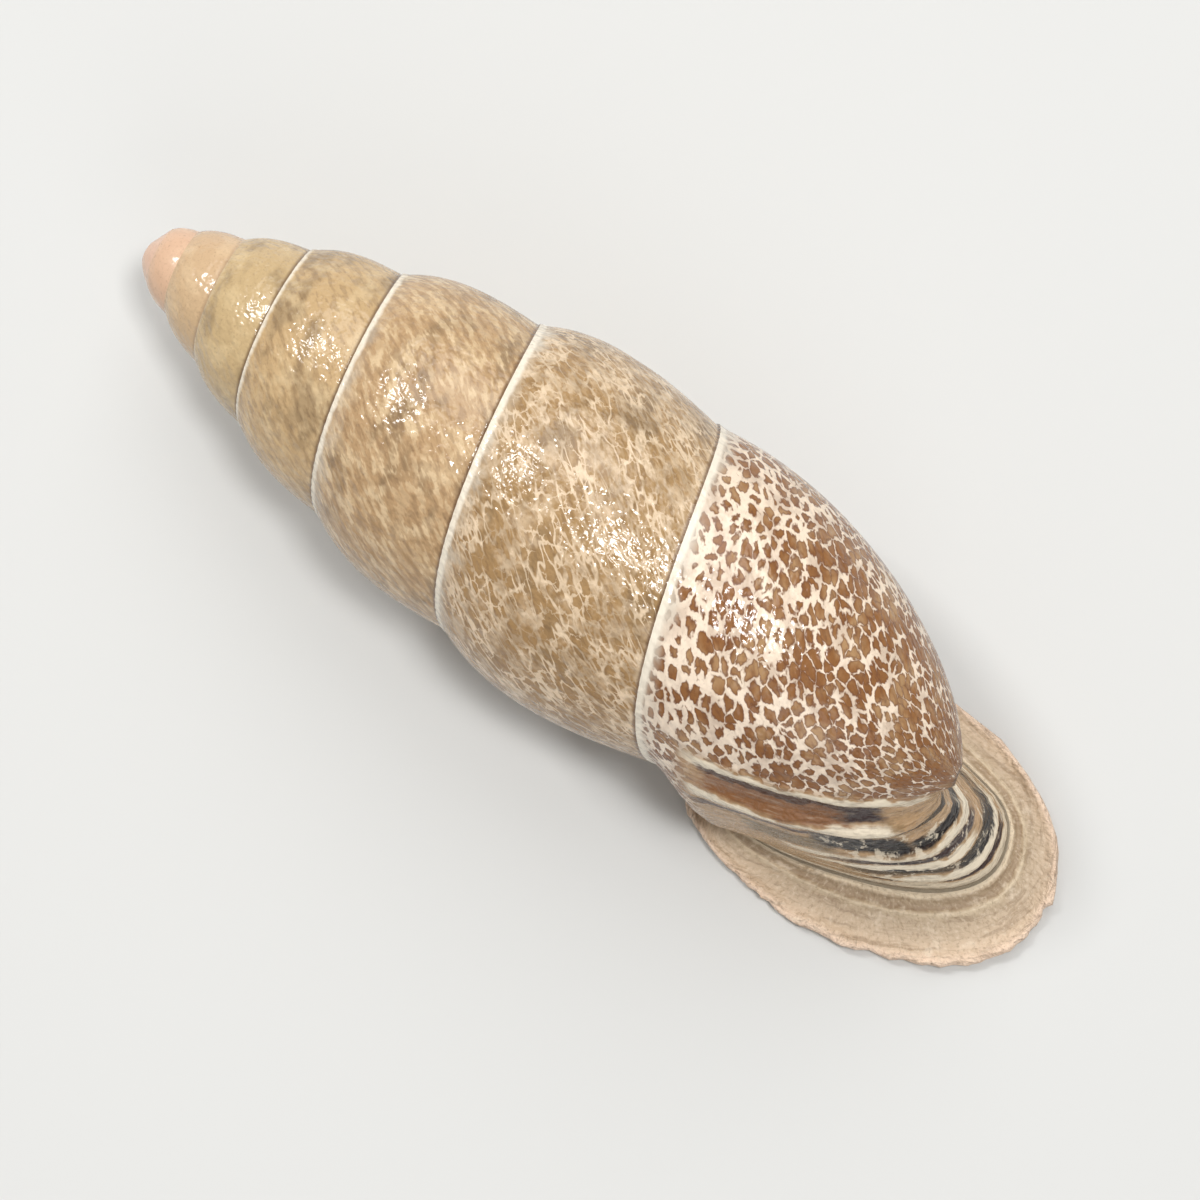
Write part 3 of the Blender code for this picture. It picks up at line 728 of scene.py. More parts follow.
def tube_section(depth, shares, wall_points):
    """The closed outline of the tube at a depth from the mouth, in neck lengths."""
    neck_turns = LIP_TURN - NECK_TURN
    if depth <= 1:
        outer = neck_sheet([1 - depth], shares)[0]
        turn = LIP_TURN - neck_turns * depth
    else:
        turn = NECK_TURN - neck_turns * (depth - 1)
        outer = whorl_points(turn, shares)
    way = column_of(np.linspace(0, 1, wall_points + 2)[1:-1])
    inner = mix(outer[-1], outer[0], way)
    radius = np.maximum(np.hypot(inner[:, 0], inner[:, 1]), core_radius(turn, inner[:, 2]))
    angle = np.arctan2(-inner[:, 0], inner[:, 1])
    inner = np.stack([-radius * np.sin(angle), radius * np.cos(angle), inner[:, 2]], -1)
    return np.vstack([outer, inner])


def tube_rings(edge, shares, wall_points):
    """Rings inside the tube, from the mouth's edge back round the columella."""
    rings = [edge]
    for depth in np.linspace(0, 1, INNER_RINGS + 1)[1:]:
        place = FIRST_DEPTH + TUBE_DEPTH * depth ** 1.1
        section = tube_section(place, shares, wall_points)
        behind = tube_section(place + 0.05, shares, wall_points)
        along = unit(np.roll(section, -1, 0) - np.roll(section, 1, 0))
        inward = unit(np.cross(along, unit(behind - section)))
        if ((section.mean(0) - section) * inward).sum() < 0:
            inward = -inward
        section = relax(section + (WALL + 0.04 + 0.25 * depth) * inward, 24)
        middle = section.mean(0)
        section = mix(middle, section, 1 - TUBE_TAPER * depth ** 2)
        from_edge = edge + depth * np.array([0.5, 4.0, 0.0])
        rings.append(mix(from_edge, section, smooth_step(0, 0.28, depth)))
    return rings


# %% Keep the rings under the outer face
THIN_WALL = 0.2
NEAR_WALL = 0.5


def keep_under(rings, sheet):
    """Move tube points that come too near to the outer sheet to a thin wall's depth under it."""
    columns, rows = sheet.shape[:2]
    numbers = np.arange(columns * rows).reshape(columns, rows)
    faces = np.stack([numbers[:-1, :-1], numbers[1:, :-1], numbers[1:, 1:], numbers[:-1, 1:]], -1)
    tree = BVHTree.FromPolygons(sheet.reshape(-1, 3).tolist(), faces.reshape(-1, 4).tolist())
    moved = 0
    for ring in rings[1:]:
        for k, point in enumerate(ring):
            place, outward, _, gap = tree.find_nearest(point)
            if gap < NEAR_WALL and (Vector(point) - place).dot(outward) > -THIN_WALL:
                ring[k] = place - outward * THIN_WALL
                moved += 1
    print("tube points moved under the outer face:", moved)
    return rings


# %% [markdown]
# ## The teeth
#
# Folds of shell stand in the mouth and narrow it against beetles. Separate teeth would need a
# Boolean to grow out of the wall. It is simpler to push the rings themselves inwards, by a bell
# curve round each tooth's angle and depth.

# %% Teeth: angle and half-width in degrees, depth and half-length as shares of the tube, height
TEETH = (
    (322, 9, 0.14, 0.28, 1.00),
    (268, 11, 0.20, 0.26, 0.55),
    (200, 9, 0.10, 0.16, 0.50),
    (140, 9, 0.13, 0.20, 0.85),
    (100, 8, 0.13, 0.18, 0.60),
)
print("teeth:", len(TEETH))


def raise_teeth(ring, angles, depth):
    """Push a ring's points inwards at the teeth, towards the section's middle line."""
    middle = ring.mean(0)
    long_way = np.linalg.svd(ring - middle, full_matrices=False)[2][0]
    along = (ring - middle) @ long_way
    across = ring - middle - column_of(along) * long_way
    straight = np.abs(along).max() - np.linalg.norm(across, axis=1).max()
    target = middle + column_of(np.clip(along, -straight, straight)) * long_way
    inward = target - ring
    room = np.linalg.norm(inward, axis=1)
    height = np.zeros(len(ring))
    for angle, half_width, tooth_depth, half_length, tooth_height in TEETH:
        place = bell((angles - angle) / half_width) * bell((depth - tooth_depth) / half_length)
        height += tooth_height * place
    if depth == 0:
        height *= 0.6
    return ring + inward * column_of(np.minimum(height, 0.8 * room) / room)


# %% [markdown]
# ## The flange of the lip
#
# Its back has low steps where growth paused, and its rim is turned over, crumpled and chipped. A
# profile swept along an oval would give an even rim. Rings between the root and the rim can each
# be moved along with the ripples, so the rim becomes as uneven as the real one.

# %% Section of the flange: share of the way out to the rim, height behind the mouth's plane, ridge
FLANGE_BACK = (
    (0.05, 0.58, 0.02), (0.09, 0.54, -0.04), (0.14, 0.47, 0.05), (0.19, 0.44, -0.01),
    (0.28, 0.43, -0.01), (0.34, 0.42, 0.05), (0.40, 0.41, 0.0), (0.50, 0.41, 0.0),
    (0.65, 0.42, 0.0), (0.80, 0.44, 0.0), (0.92, 0.45, 0.0), (0.985, 0.38, 0.0), (1.0, 0.20, 0.0),
)
FLANGE_FRONT = (
    (0.99, 0.07, 0.0), (0.93, 0.0, 0.0), (0.80, -0.02, 0.0), (0.62, 0.0, 0.0),
    (0.45, 0.06, 0.0), (0.30, 0.16, 0.0), (0.16, 0.30, 0.0), (0.06, 0.44, 0.0),
)


def finer(table):
    """Twice as many stations along a section, on a smooth curve through them."""
    stations = [(i, *row) for i, row in enumerate(table)]
    return natural_curve(stations)(np.arange(2 * len(table) - 1) / 2)


# %% Rings over the flange
def flange_rings(root, rim, edge):
    """Rings over the flange, each with its place: 0 to 1 behind, then 1 to 2 in front."""
    # The flange has its full section where it is wide and reaches the plane of the mouth.
    width = np.linalg.norm(rim - root, axis=1)
    behind = rim[:, 1] - mouth_plane(rim[:, 2]) - RIM_DEPTH
    full = relax(smooth_step(0.35, 0.95, width) * (1 - smooth_step(0.15, 0.7, behind)), 24)
    wide = full * smooth_step(0.9, 1.4, width)

    # The rim is crumpled, and chipped in two places.
    along = np.linspace(0, 2 * math.pi, len(root), endpoint=False)
    crumple = 0.055 * ripple(along * 9, 11) + 0.03 * ripple(along * 26, 12)
    chips = 0.10 * bell((along - 1.75) / 0.03) + 0.13 * bell((along - 2.62) / 0.022)
    outward = unit((rim - root) * np.array([1.0, 0.0, 1.0]))
    rough = 0.05 * ripple(along * 17, 13)
    rings = []
    sides = (root, FLANGE_BACK, 0.1, 0.72), (edge, FLANGE_FRONT, -0.12, 0.8)
    for inner, table, swell, rim_start in sides:
        for share, height, ridge in finer(table):
            share = min(share, 1.0)
            ring = mix(inner, rim, share)
            near_rim = smooth_step(rim_start, 1, share)
            wave = ridge
            if inner is root:
                lumps = ripple(along * 23 + share * 9, 15) * ripple(share * 31 - along * 4, 16)
                wave = wave + near_rim * (rough + 0.08 * lumps)
                wave = wave + 0.014 * ripple(along * 40 + share * 30, 14)
            curved = ring[:, 1] + swell * math.sin(math.pi * share)
            ring[:, 1] = mix(curved, mouth_plane(ring[:, 2]) + height + wave * wide, full)
            ring = ring + outward * column_of((crumple - chips) * near_rim * wide)
            rings.append((ring, share if inner is root else 2 - share))
    return rings


# %% [markdown]
# ## One closed skin
#
# Each whorl ends on the suture of the next, so both share its points. What the colours need to
# know is kept at the corners of the faces and not at the points, because the two whorls differ
# along that line: turn, share of the way down, distances to both sutures, place along the neck,
# place on the lip, and the skin's own map in millimetres.

# %% Points, faces and what their corners carry
FIELDS = ("turn", "share", "down", "up", "neck", "lip", "u", "v")


class Skin:
    """The points, the faces and the corner values of the shell's closed surface."""

    def __init__(self):
        self.points = []
        self.faces = []
        self.values = []

    def add(self, points):
        """Add points, and return their numbers."""
        first = len(self.points)
        self.points.extend(points)
        return list(range(first, len(self.points)))

    def face(self, *corners):
        """Add a face from corners of (point's number, values)."""
        self.faces.append([number for number, _ in corners])
        self.values.extend(values for _, values in corners)

    def join(self, ring, following):
        """Join two rings of as many corners."""
        count = len(ring)
        for k in range(count):
            after = (k + 1) % count
            self.face(ring[k], following[k], following[after], ring[after])

    def join_multiplied(self, ring, following, times):
        """Join a ring to one that has some times as many corners."""
        count = len(ring)
        half = times // 2
        for k in range(count):
            here, after = ring[k], ring[(k + 1) % count]
            part = [following[(times * k + i) % (times * count)] for i in range(times + 1)]
            for i in range(times):
                self.face(here if i < half else after, part[i], part[i + 1])
            self.face(here, part[half], after)

    def join_strip(self, first, second):
        """Fill the strip between two lines of corners that share both of their ends."""
        self.face(first[0], first[1], second[1])
        a = b = 1
        while a < len(first) - 2 or b < len(second) - 2:
            a_gap = b_gap = math.inf
            if a < len(first) - 2:
                a_gap = np.linalg.norm(self.points[first[a + 1][0]] - self.points[second[b][0]])
            if b < len(second) - 2:
                b_gap = np.linalg.norm(self.points[first[a][0]] - self.points[second[b + 1][0]])
            if a_gap < b_gap:
                self.face(first[a], first[a + 1], second[b])
                a += 1
            else:
                self.face(first[a], second[b + 1], second[b])
                b += 1
        self.face(first[a], first[a + 1], second[b])


def lengths_along(points, axis):
    """Distance along lines of points, from the first of each."""
    steps = np.linalg.norm(np.diff(points, axis=axis), axis=-1)
    start = np.zeros_like(np.take(steps, [0], axis=axis))
    return np.concatenate([start, np.cumsum(steps, axis=axis)], axis=axis)


# %% The whorls and the neck
def outer_corners(skin):
    """Add the whorls and the neck, and return the corners of their grid."""
    neck, growth = neck_points()
    grid = np.concatenate([coil, neck])
    last = len(grid) - 1
    turns = FIRST_TURN + np.arange(last + 1) / COLUMNS_PER_TURN
    down = lengths_along(grid, 1)
    middle = lengths_along(grid[:, ROWS // 2], 0)
    along_neck = np.concatenate([np.zeros(len(coil)), growth])
    turn, along_neck, middle = column_of(turns), column_of(along_neck), column_of(middle)
    columns = turn, SHARES, down, down[:, -1:] - down, along_neck, 0, middle, down
    fields = np.stack(np.broadcast_arrays(*columns), -1)

    numbers = [skin.add(column[:-1]) for column in grid]
    for i, column in enumerate(numbers):
        if i + COLUMNS_PER_TURN <= last:
            column.append(numbers[i + COLUMNS_PER_TURN][0])
        elif i < last:
            column.extend(skin.add(grid[i][-1:]))
        else:
            column.append(numbers[column_number(CALLUS_END)][-1])
    corners = [list(zip(column, values)) for column, values in zip(numbers, fields)]
    for near, far in zip(corners, corners[1:]):
        for j in range(ROWS):
            skin.face(near[j], far[j], far[j + 1], near[j + 1])
    return corners


# %% The first turn and the chink
def close_apex(skin, corners):
    """Fill the first turn, round the point where the coil begins."""
    centre = corners[0][0]
    for i in range(1, COLUMNS_PER_TURN - 1):
        skin.face(centre, corners[i + 1][0], corners[i][0])
    for j in range(ROWS):
        skin.face(corners[COLUMNS_PER_TURN - 1][0], corners[0][j], corners[0][j + 1])


def close_chink(skin, corners):
    """Fill the chink between the start of the last whorl's lower edge and the neck."""
    tip = column_number(CHINK_TIP)
    whorl_side = [column[-1] for column in corners[column_number(CALLUS_END):tip + 1]]
    neck_side = [column[-1] for column in corners[:tip - 1:-1]]
    skin.join_strip(whorl_side, neck_side)


# %% The mouth
RING_MULTIPLE = 4
PARIETAL_ANGLES = (275, 374)
# Distance to both sutures, in mm, on the lip.
FAR = 9


def add_mouth(skin, corners):
    """Add the flange, the rim, the teeth and the inside of the tube."""
    callus = column_number(CALLUS_END) - column_number(LIP_TURN - 1)
    start = column_number(CALLUS_END)
    lip = corners[-1][:-1] + [corners[i][-1] for i in range(start, start - callus, -1)]

    count = RING_MULTIPLE * ROWS
    fine_shares = np.interp(np.arange(count) / RING_MULTIPLE, np.arange(ROWS + 1), SHARES)
    root, rim = lip_lines(fine_shares)
    wall_points = RING_MULTIPLE * callus
    turns = CALLUS_END - np.arange(wall_points) / (RING_MULTIPLE * COLUMNS_PER_TURN)
    callus_line = np.array([on_coil(turn, *lower_edge_at(turn)) for turn in turns])
    way = column_of(np.linspace(0, 1, wall_points))
    callus_lift = mix(np.array([0.1, -0.15, -0.05]), np.array([0.0, -0.15, -0.02]), way)
    root = np.vstack([root, callus_line])
    rim = np.vstack([rim, callus_line + callus_lift])

    wall_angles = np.linspace(*PARIETAL_ANGLES, wall_points + 1)[:-1]
    angles = np.concatenate([row_ends_at(fine_shares)[:, 0], wall_angles])
    edge = mouth_edge(angles)
    outer = np.concatenate([coil[column_number(4.9):], neck_points()[0]])
    tube = keep_under(tube_rings(edge, fine_shares, wall_points), outer)
    rings = flange_rings(root, rim, edge)
    for i, ring in enumerate(tube):
        depth = i / INNER_RINGS
        rings.append((raise_teeth(ring, angles, depth), 2.02 + 0.98 * depth))

    # The map of the lip: outwards and inwards from the root, and round the rim.
    points = np.array([ring for ring, _ in rings])
    outward = lengths_along(points, 0)
    around = lengths_along(rim[:, None, :].transpose(1, 0, 2), 1)[0]
    shares = np.concatenate([fine_shares, np.linspace(1, 2, wall_points)])
    joined = []
    for (ring, place), out in zip(rings, outward):
        columns = LIP_TURN, shares, FAR, FAR, 1, place, out, around
        values = np.stack(np.broadcast_arrays(*columns), -1)
        joined.append(list(zip(skin.add(ring), values)))
    skin.join_multiplied(lip, joined[0], RING_MULTIPLE)
    for ring, following in zip(joined, joined[1:]):
        skin.join(ring, following)
    end = (skin.add([rings[-1][0].mean(0)])[0], joined[-1][0][1])
    for k, corner in enumerate(joined[-1]):
        skin.face(corner, end, joined[-1][(k + 1) % len(joined[-1])])


# %% Assemble the skin
skin = Skin()
corners = outer_corners(skin)
close_apex(skin, corners)
close_chink(skin, corners)
add_mouth(skin, corners)
print("points and faces of the skin:", len(skin.points), len(skin.faces))

# %% [markdown]
# ## Laid down in the solid's frame
#
# The shell is turned as it rests, centred, set on its flat spots and kept inside the solid's box.
# The turn goes into the points and not into the object, which stays at the origin.

# %% The finished mesh
FLAT_DEPTH = 0.05


def lay_down(points):
    """Return the points in metres where they lie, and the shift that took them there in mm."""
    turned = np.array(points) @ np.array(TURNED).T
    low = turned.min(0)
    high = turned.max(0)
    shift = np.array([-(low[0] + high[0]) / 2, -(low[1] + high[1]) / 2, -low[2] - FLAT_DEPTH])
    return np.clip((turned + shift) * MM, solid_low, solid_high), shift


def shell_mesh(skin):
    placed, shift = lay_down(skin.points)
    mesh = bpy.data.meshes.new("shell skin")
    mesh.from_pydata(placed.tolist(), [], skin.faces)
    values = np.array(skin.values)
    for i, name in enumerate(FIELDS[:6]):
        layer = mesh.attributes.new(name, "FLOAT", "CORNER")
        layer.data.foreach_set("value", values[:, i].copy())
    mesh.uv_layers.new(name="skin").data.foreach_set("uv", values[:, 6:8].ravel())
    mesh.shade_smooth()
    mesh.set_sharp_from_angle(angle=math.radians(62))
    return mesh, shift


mesh, shift = shell_mesh(skin)
shell = add_object("shell_skin", mesh)
frame_camera(shift)
print("triangles:", sum(len(face) - 2 for face in skin.faces), " shift, mm:", np.round(shift, 3))

# %% [markdown]
# ## Colours by the age of the shell
#
# The real shell is peach at the apex, tan and olive in the middle and red-brown on the last whorl.
# An image could be wrapped round it, but a ramp over the turn needs no picture and fits the whorls
# exactly. Colours are given as screen values.

# %% Screen values
def paint(red, green, blue):
    """A colour given as screen values from 0 to 255."""
    values = np.array([red, green, blue]) / 255
    linear = np.where(values > 0.04045, ((values + 0.055) / 1.055) ** 2.4, values / 12.92)
    return (*linear.tolist(), 1.0)


# %% Ground and cream at each turn
GROUND = (
    (-1.3, 216, 178, 154),
    (0.2, 208, 172, 142),
    (1.0, 196, 166, 130),
    (2.0, 190, 164, 122),
    (3.0, 188, 158, 116),
    (4.0, 178, 146, 108),
    (5.0, 162, 130, 88),
    (5.8, 140, 95, 54),
    (6.4, 132, 86, 48),
)
CREAM = (
    (-1.3, 226, 192, 166),
    (2.0, 214, 190, 148),
    (4.0, 214, 188, 150),
    (5.2, 227, 203, 173),
    (6.4, 240, 223, 204),
)

# %% Colours of the whorls
SUTURE_WHITE = paint(234, 224, 206)
GREY_WHITE = paint(204, 194, 178)
# Dark brown: speckles, wavy marks and streaks, and painted shade along the sutures and the neck's
# creases.
MARK_AND_SHADE_BROWN = paint(78, 50, 34)
# Dark red-brown: wavy marks, and painted shade along the edges of the net's cells.
EDGE_SHADE_AND_MARK_BROWN = paint(100, 62, 44)
TAN = paint(178, 144, 104)
CLOUD = paint(122, 102, 76)

# %% [markdown]
# ## Patterns on the skin's map
#
# Every pattern is drawn on the skin's own map, in millimetres along the coil and down the whorl.
# Object coordinates would cut straight through the whorls. The growth lines slant across them, so
# most patterns are slanted with them. A net of cream lines is the edges of Voronoi cells, on a
# map that is bent and shaken so that no straight edge is left.

# %% The map and the noises that several patterns share
class SkinMap:
    """The skin's map in millimetres: u along the coil and v down the whorl."""

    def __init__(self, graph):
        self.graph = graph
        self.u, self.v = graph.parts(graph.add("ShaderNodeUVMap", {"uv_map": "skin"}, {}))
        self.clouds = self.noise(0.5, 0.8, 2, 3.0, 0.62)
        self.patches = self.noise(1.3, 1.3, 7)
        self.worms = self.noise(4.6, 2.4, 12, 2.0, 0.55, slant=-0.7)
        self.speckle = self.noise(9, 9, 4, 3.0, 0.65)

    def noise(self, across, down, seed, detail=3.0, roughness=0.6, slant=0.0):
        """Noise with so many features per millimetre across and down, between 0 and 1."""
        place = self.graph.vector((self.u + self.v * slant) * across, self.v * down, float(seed))
        return self.graph.noise(place, 1.0, detail, roughness)

    def cells(self, size, stretch, slant, bend, shake):
        """Cells on a bent map: the distance to their edges, less where one is far from a middle."""
        graph = self.graph
        along = (self.u + self.v * slant) / size
        flat = graph.vector(along, (self.v - self.u * slant) / (size * stretch))
        large = graph.noise(flat, 0.45, 2.0, 0.5, "Color")
        small = graph.noise(flat, 1.7, 2.0, 0.6, "Color")
        flat = graph.shifted(graph.shifted(flat, large, bend), small, shake)
        edge = graph.cells(flat, "DISTANCE_TO_EDGE")
        middle = graph.cells(flat, "F1")
        return edge - (middle - 0.36) * 0.34


# %% The middle whorls: clouds, cream patches and fine wavy marks
def middle_whorls(graph, skin_map, turn, ground, cream):
    patches = skin_map.patches
    cloudy = skin_map.clouds.rise(0.50, 0.64) * turn.rise(0.9, 2.0) * turn.fall(4.9, 5.4)
    wormy = skin_map.worms.rise(0.50, 0.57) * turn.rise(2.6, 3.6) * turn.fall(4.7, 5.1)
    dark_worms = skin_map.worms.fall(0.38, 0.47) * turn.rise(1.6, 3.0)
    return graph.layers(
        ground,
        (cloudy * 0.55, CLOUD),
        (patches.rise(0.48, 0.66) * 0.45, cream),
        (wormy * (0.25 + 0.5 * patches.rise(0.4, 0.6)), cream),
        (dark_worms * 0.22, MARK_AND_SHADE_BROWN),
    )


# %% The whorl before the last: thin wavy lines down the whorl, joined into a net in places
OPEN_CELLS = {"size": 0.36, "stretch": 1.2, "slant": -0.7, "bend": 1.3, "shake": 0.95}


def whorl_before_last(graph, skin_map, turn, under, cream):
    here = turn.rise(4.3, 4.75)
    winding = skin_map.noise(1.9, 1.15, 83, 2.0, 0.55, slant=-0.8)
    wave = (winding - 0.5).size() * (0.8 + 0.8 * skin_map.patches)
    line = 0.035 + (skin_map.patches - 0.5) * 0.5 - 0.12 * skin_map.clouds.rise(0.45, 0.6)
    net = (skin_map.cells(**OPEN_CELLS) - line).fall(-0.05, 0.06)
    strength = 0.25 + 0.6 * skin_map.noise(1.3, 1.0, 85).rise(0.40, 0.60)
    return graph.layers(
        under,
        ((wave.fall(0.0, 0.085) + net * 0.5) * here * 0.35, CLOUD),
        (wave.fall(0.015, 0.055) * here * strength, cream),
        (net * here * strength * 0.9, cream),
    )


# %% The last whorl: closer cells with painted shade at their edges, wider lines below the suture, brown lakes towards the base
CLOSE_CELLS = {"size": 0.33, "stretch": 1.22, "slant": -0.6, "bend": 1.0, "shake": 0.72}


def last_whorl(graph, skin_map, share, ground, cream):
    breaks = skin_map.noise(2.6, 2.6, 23, 2.0)
    drift = skin_map.noise(0.7, 0.9, 17)
    line = 0.06 + (drift - 0.5) * 0.85 + (breaks - 0.5) * 1.0
    line = line + 0.07 * share.fall(0.08, 0.34) - 0.09 * share.rise(0.4, 0.8)
    from_line = skin_map.cells(**CLOSE_CELLS) - line
    strength = 0.66 + 0.32 * skin_map.patches.rise(0.36, 0.56)
    return graph.layers(
        ground,
        (skin_map.noise(1.0, 1.0, 31).rise(0.44, 0.66) * 0.75, TAN),
        # Painted shade: the cells darken next to the cream lines.
        (from_line.fall(0.04, 0.24) * 0.62, EDGE_SHADE_AND_MARK_BROWN),
        (skin_map.worms.fall(0.36, 0.5) * 0.3, EDGE_SHADE_AND_MARK_BROWN),
        (from_line.fall(-0.09, 0.08) * strength, cream),
    )


# %% Along the sutures: a grey-white zone and a white thread below, a line of painted shade above
def suture_lines(graph, skin_map, turn, down, up, under):
    ragged = skin_map.noise(2.2, 1.0, 37) - 0.5
    zone = (down + ragged * 1.1).fall(0.08, 0.60) * turn.rise(3.4, 4.6)
    width = 0.05 + 0.11 * turn.rise(2.0, 5.2) + ragged * 0.2
    thread = (down - width).fall(-0.05, 0.07) * turn.rise(1.7, 3.0)
    return graph.layers(
        under,
        (zone * (0.30 + 0.5 * skin_map.clouds.rise(0.42, 0.58)), GREY_WHITE),
        (thread * (0.45 + 0.8 * skin_map.speckle), SUTURE_WHITE),
        # Painted shade: a dark line just above each suture, in the crease between the whorls.
        (up.fall(0.02, 0.12) * 0.7 * turn.rise(0.4, 2), MARK_AND_SHADE_BROWN),
    )


# %% All the whorls
def whorl_colour(graph, skin_map, turn, share, down, up):
    ground = graph.ramp(turn, GROUND)
    cream = graph.ramp(turn, CREAM)
    older = middle_whorls(graph, skin_map, turn, ground, cream)
    older = whorl_before_last(graph, skin_map, turn, older, cream)
    young = last_whorl(graph, skin_map, share, ground, cream)
    how_young = (turn + (skin_map.noise(0.7, 0.7, 71) - 0.5) * 0.3).rise(5.2, 5.5)
    speckled = (skin_map.speckle - 0.5).size().rise(0.04, 0.26)
    colour = graph.layers(older, (how_young, young), (speckled * 0.24, MARK_AND_SHADE_BROWN))
    return suture_lines(graph, skin_map, turn, down, up, colour)


# %% [markdown]
# ## Stripes on the neck
#
# The net ends at the neck. A red-brown band between two cream lines comes first, then black
# furrows between cream ridges, with short bridges of cream across them. A wave texture would space
# them evenly. Each stripe has a row in a table instead, which says where it starts, ends and fades.

# %% Colours of the neck
NECK_TONE = paint(184, 150, 112)
CREAM_RIDGE = paint(232, 218, 194)
RED_BROWN = paint(134, 90, 54)
OLIVE = paint(122, 100, 68)
PURPLE_BLACK = paint(52, 34, 34)
BLACK = paint(22, 17, 17)

# %% Stripes: place along the neck on its upper and lower half, half-width, from and to which share
# of the way down, colour
NECK_STRIPES = (
    (0.065, 0.065, 0.036, 0.12, 0.86, CREAM_RIDGE),
    (0.160, 0.160, 0.075, 0.19, 0.58, RED_BROWN),
    # Painted shade: a thin dark line where the cream ridge drops into the band.
    (0.098, 0.098, 0.022, 0.18, 0.60, MARK_AND_SHADE_BROWN),
    (0.140, 0.140, 0.066, 0.56, 0.72, PURPLE_BLACK),
    (0.262, 0.262, 0.036, 0.14, 0.56, CREAM_RIDGE),
    (0.270, 0.270, 0.070, 0.54, 0.72, CREAM_RIDGE),
    # Painted shade: a thin dark line along the edge of the furrow.
    (0.330, 0.330, 0.024, 0.10, 0.46, MARK_AND_SHADE_BROWN),
    (0.440, 0.440, 0.080, 0.28, 0.48, OLIVE),
    (0.370, 0.430, 0.082, 0.45, 0.68, BLACK),
    (0.300, 0.300, 0.040, 0.72, 0.90, BLACK),
    (0.460, 0.460, 0.045, 0.68, 0.92, BLACK),
    (0.560, 0.540, 0.040, 0.34, 0.92, CREAM_RIDGE),
    (0.610, 0.600, 0.030, 0.46, 0.86, PURPLE_BLACK),
    (0.730, 0.720, 0.085, 0.46, 0.70, BLACK),
    (0.740, 0.760, 0.072, 0.68, 0.90, BLACK),
    (0.660, 0.660, 0.024, 0.35, 0.80, CREAM_RIDGE),
    (0.835, 0.835, 0.034, 0.36, 0.90, CREAM_RIDGE),
    (0.890, 0.890, 0.026, 0.48, 0.84, PURPLE_BLACK),
    (0.960, 0.960, 0.046, 0.00, 1.00, CREAM_RIDGE),
)
print("stripes on the neck:", len(NECK_STRIPES))


# %% The neck's colour
def neck_colour(graph, skin_map, neck, share, under):
    """Stripes over the neck, on the colour under them."""
    wobble = skin_map.noise(0.6, 0.9, 41) - 0.5
    fine = skin_map.noise(5.0, 1.6, 43, roughness=0.7)
    streaks = skin_map.noise(11.0, 1.2, 44)
    place = neck + wobble * 0.09 + (fine - 0.5) * 0.045
    low = share + wobble * 0.16 + (fine - 0.5) * 0.10
    here = neck.rise(0.0, 0.02) * (share + wobble * 0.1).rise(0.09, 0.19)
    layers = [
        (place.rise(0.0, 0.05) * here, NECK_TONE),
        (fine.rise(0.45, 0.65) * here * 0.55, OLIVE),
    ]
    lower_half = share.rise(0.4, 0.6)
    for upper, lower, width, first, last, shade in NECK_STRIPES:
        centre = upper if upper == lower else upper + (lower - upper) * lower_half
        strength = (place - centre).size().fall(width * 0.6, width)
        if first > 0:
            strength = strength * low.rise(first - 0.03, first + 0.03)
        if last < 1:
            strength = strength * low.fall(last - 0.03, last + 0.03)
        layers.append((strength * here, shade))
    bridges = skin_map.noise(1.9, 2.6, 45, 3.0, 0.7).rise(0.54, 0.63) * place.rise(0.3, 0.4)
    bridges = bridges * place.fall(0.9, 0.97) * low.rise(0.42, 0.5) * low.fall(0.86, 0.92)
    layers.append((bridges * 0.7, CREAM_RIDGE))
    layers.append((streaks.rise(0.5, 0.68) * here * 0.35, MARK_AND_SHADE_BROWN))
    layers.append((streaks.fall(0.34, 0.46) * here * 0.15, CREAM_RIDGE))
    return graph.layers(under, *layers)


# %% [markdown]
# ## The lip and the lining of the mouth
#
# The lip is beige, with darker growth lines round it and a pinkish rim, and the lining darkens
# inwards. The place on the lip is one number, 0 at the root, 1 at the rim and 2 at the mouth's
# edge, so a single ramp colours it all.

# %% Colours of the lip
LIP = (
    (0.0, 224, 206, 178),
    (0.10, 222, 204, 176),
    (0.14, 178, 156, 128),
    (0.27, 164, 140, 112),
    (0.34, 218, 198, 168),
    (0.42, 190, 168, 140),
    (0.70, 202, 178, 150),
    (0.84, 214, 188, 160),
    (0.92, 234, 206, 180),
    (1.00, 238, 210, 186),
    (1.30, 234, 214, 192),
    (2.00, 226, 198, 168),
    (2.20, 204, 166, 130),
    (3.00, 120, 80, 52),
)
FLANGE_DARK = paint(138, 112, 84)
FLANGE_PALE = paint(228, 210, 186)


# %% The lip's colour
def lip_colour(graph, skin_map, lip, under):
    """Beige flange with concentric lines and a pinkish rim, and the mouth's lining."""
    lines = skin_map.noise(6.0, 0.5, 47, 3.0, 0.65)
    mottle = skin_map.noise(1.7, 1.2, 53, 3.0, 0.7)
    grit = skin_map.noise(7.0, 7.0, 54, 3.0, 0.7)
    place = lip + (mottle - 0.5) * 0.16 * lip.rise(0.02, 0.15) * lip.fall(1.0, 1.2)
    outside = lip.fall(1.0, 1.15)
    colour = graph.layers(
        graph.ramp(place, LIP),
        (lines.rise(0.48, 0.66) * outside * 0.5, FLANGE_DARK),
        (mottle.rise(0.54, 0.7) * outside * 0.5, FLANGE_PALE),
        (grit.fall(0.34, 0.47) * outside * 0.4, FLANGE_DARK),
        (grit.rise(0.54, 0.66) * outside * 0.35, FLANGE_PALE),
    )
    return graph.layers(under, (lip.rise(0.0, 0.02), colour))


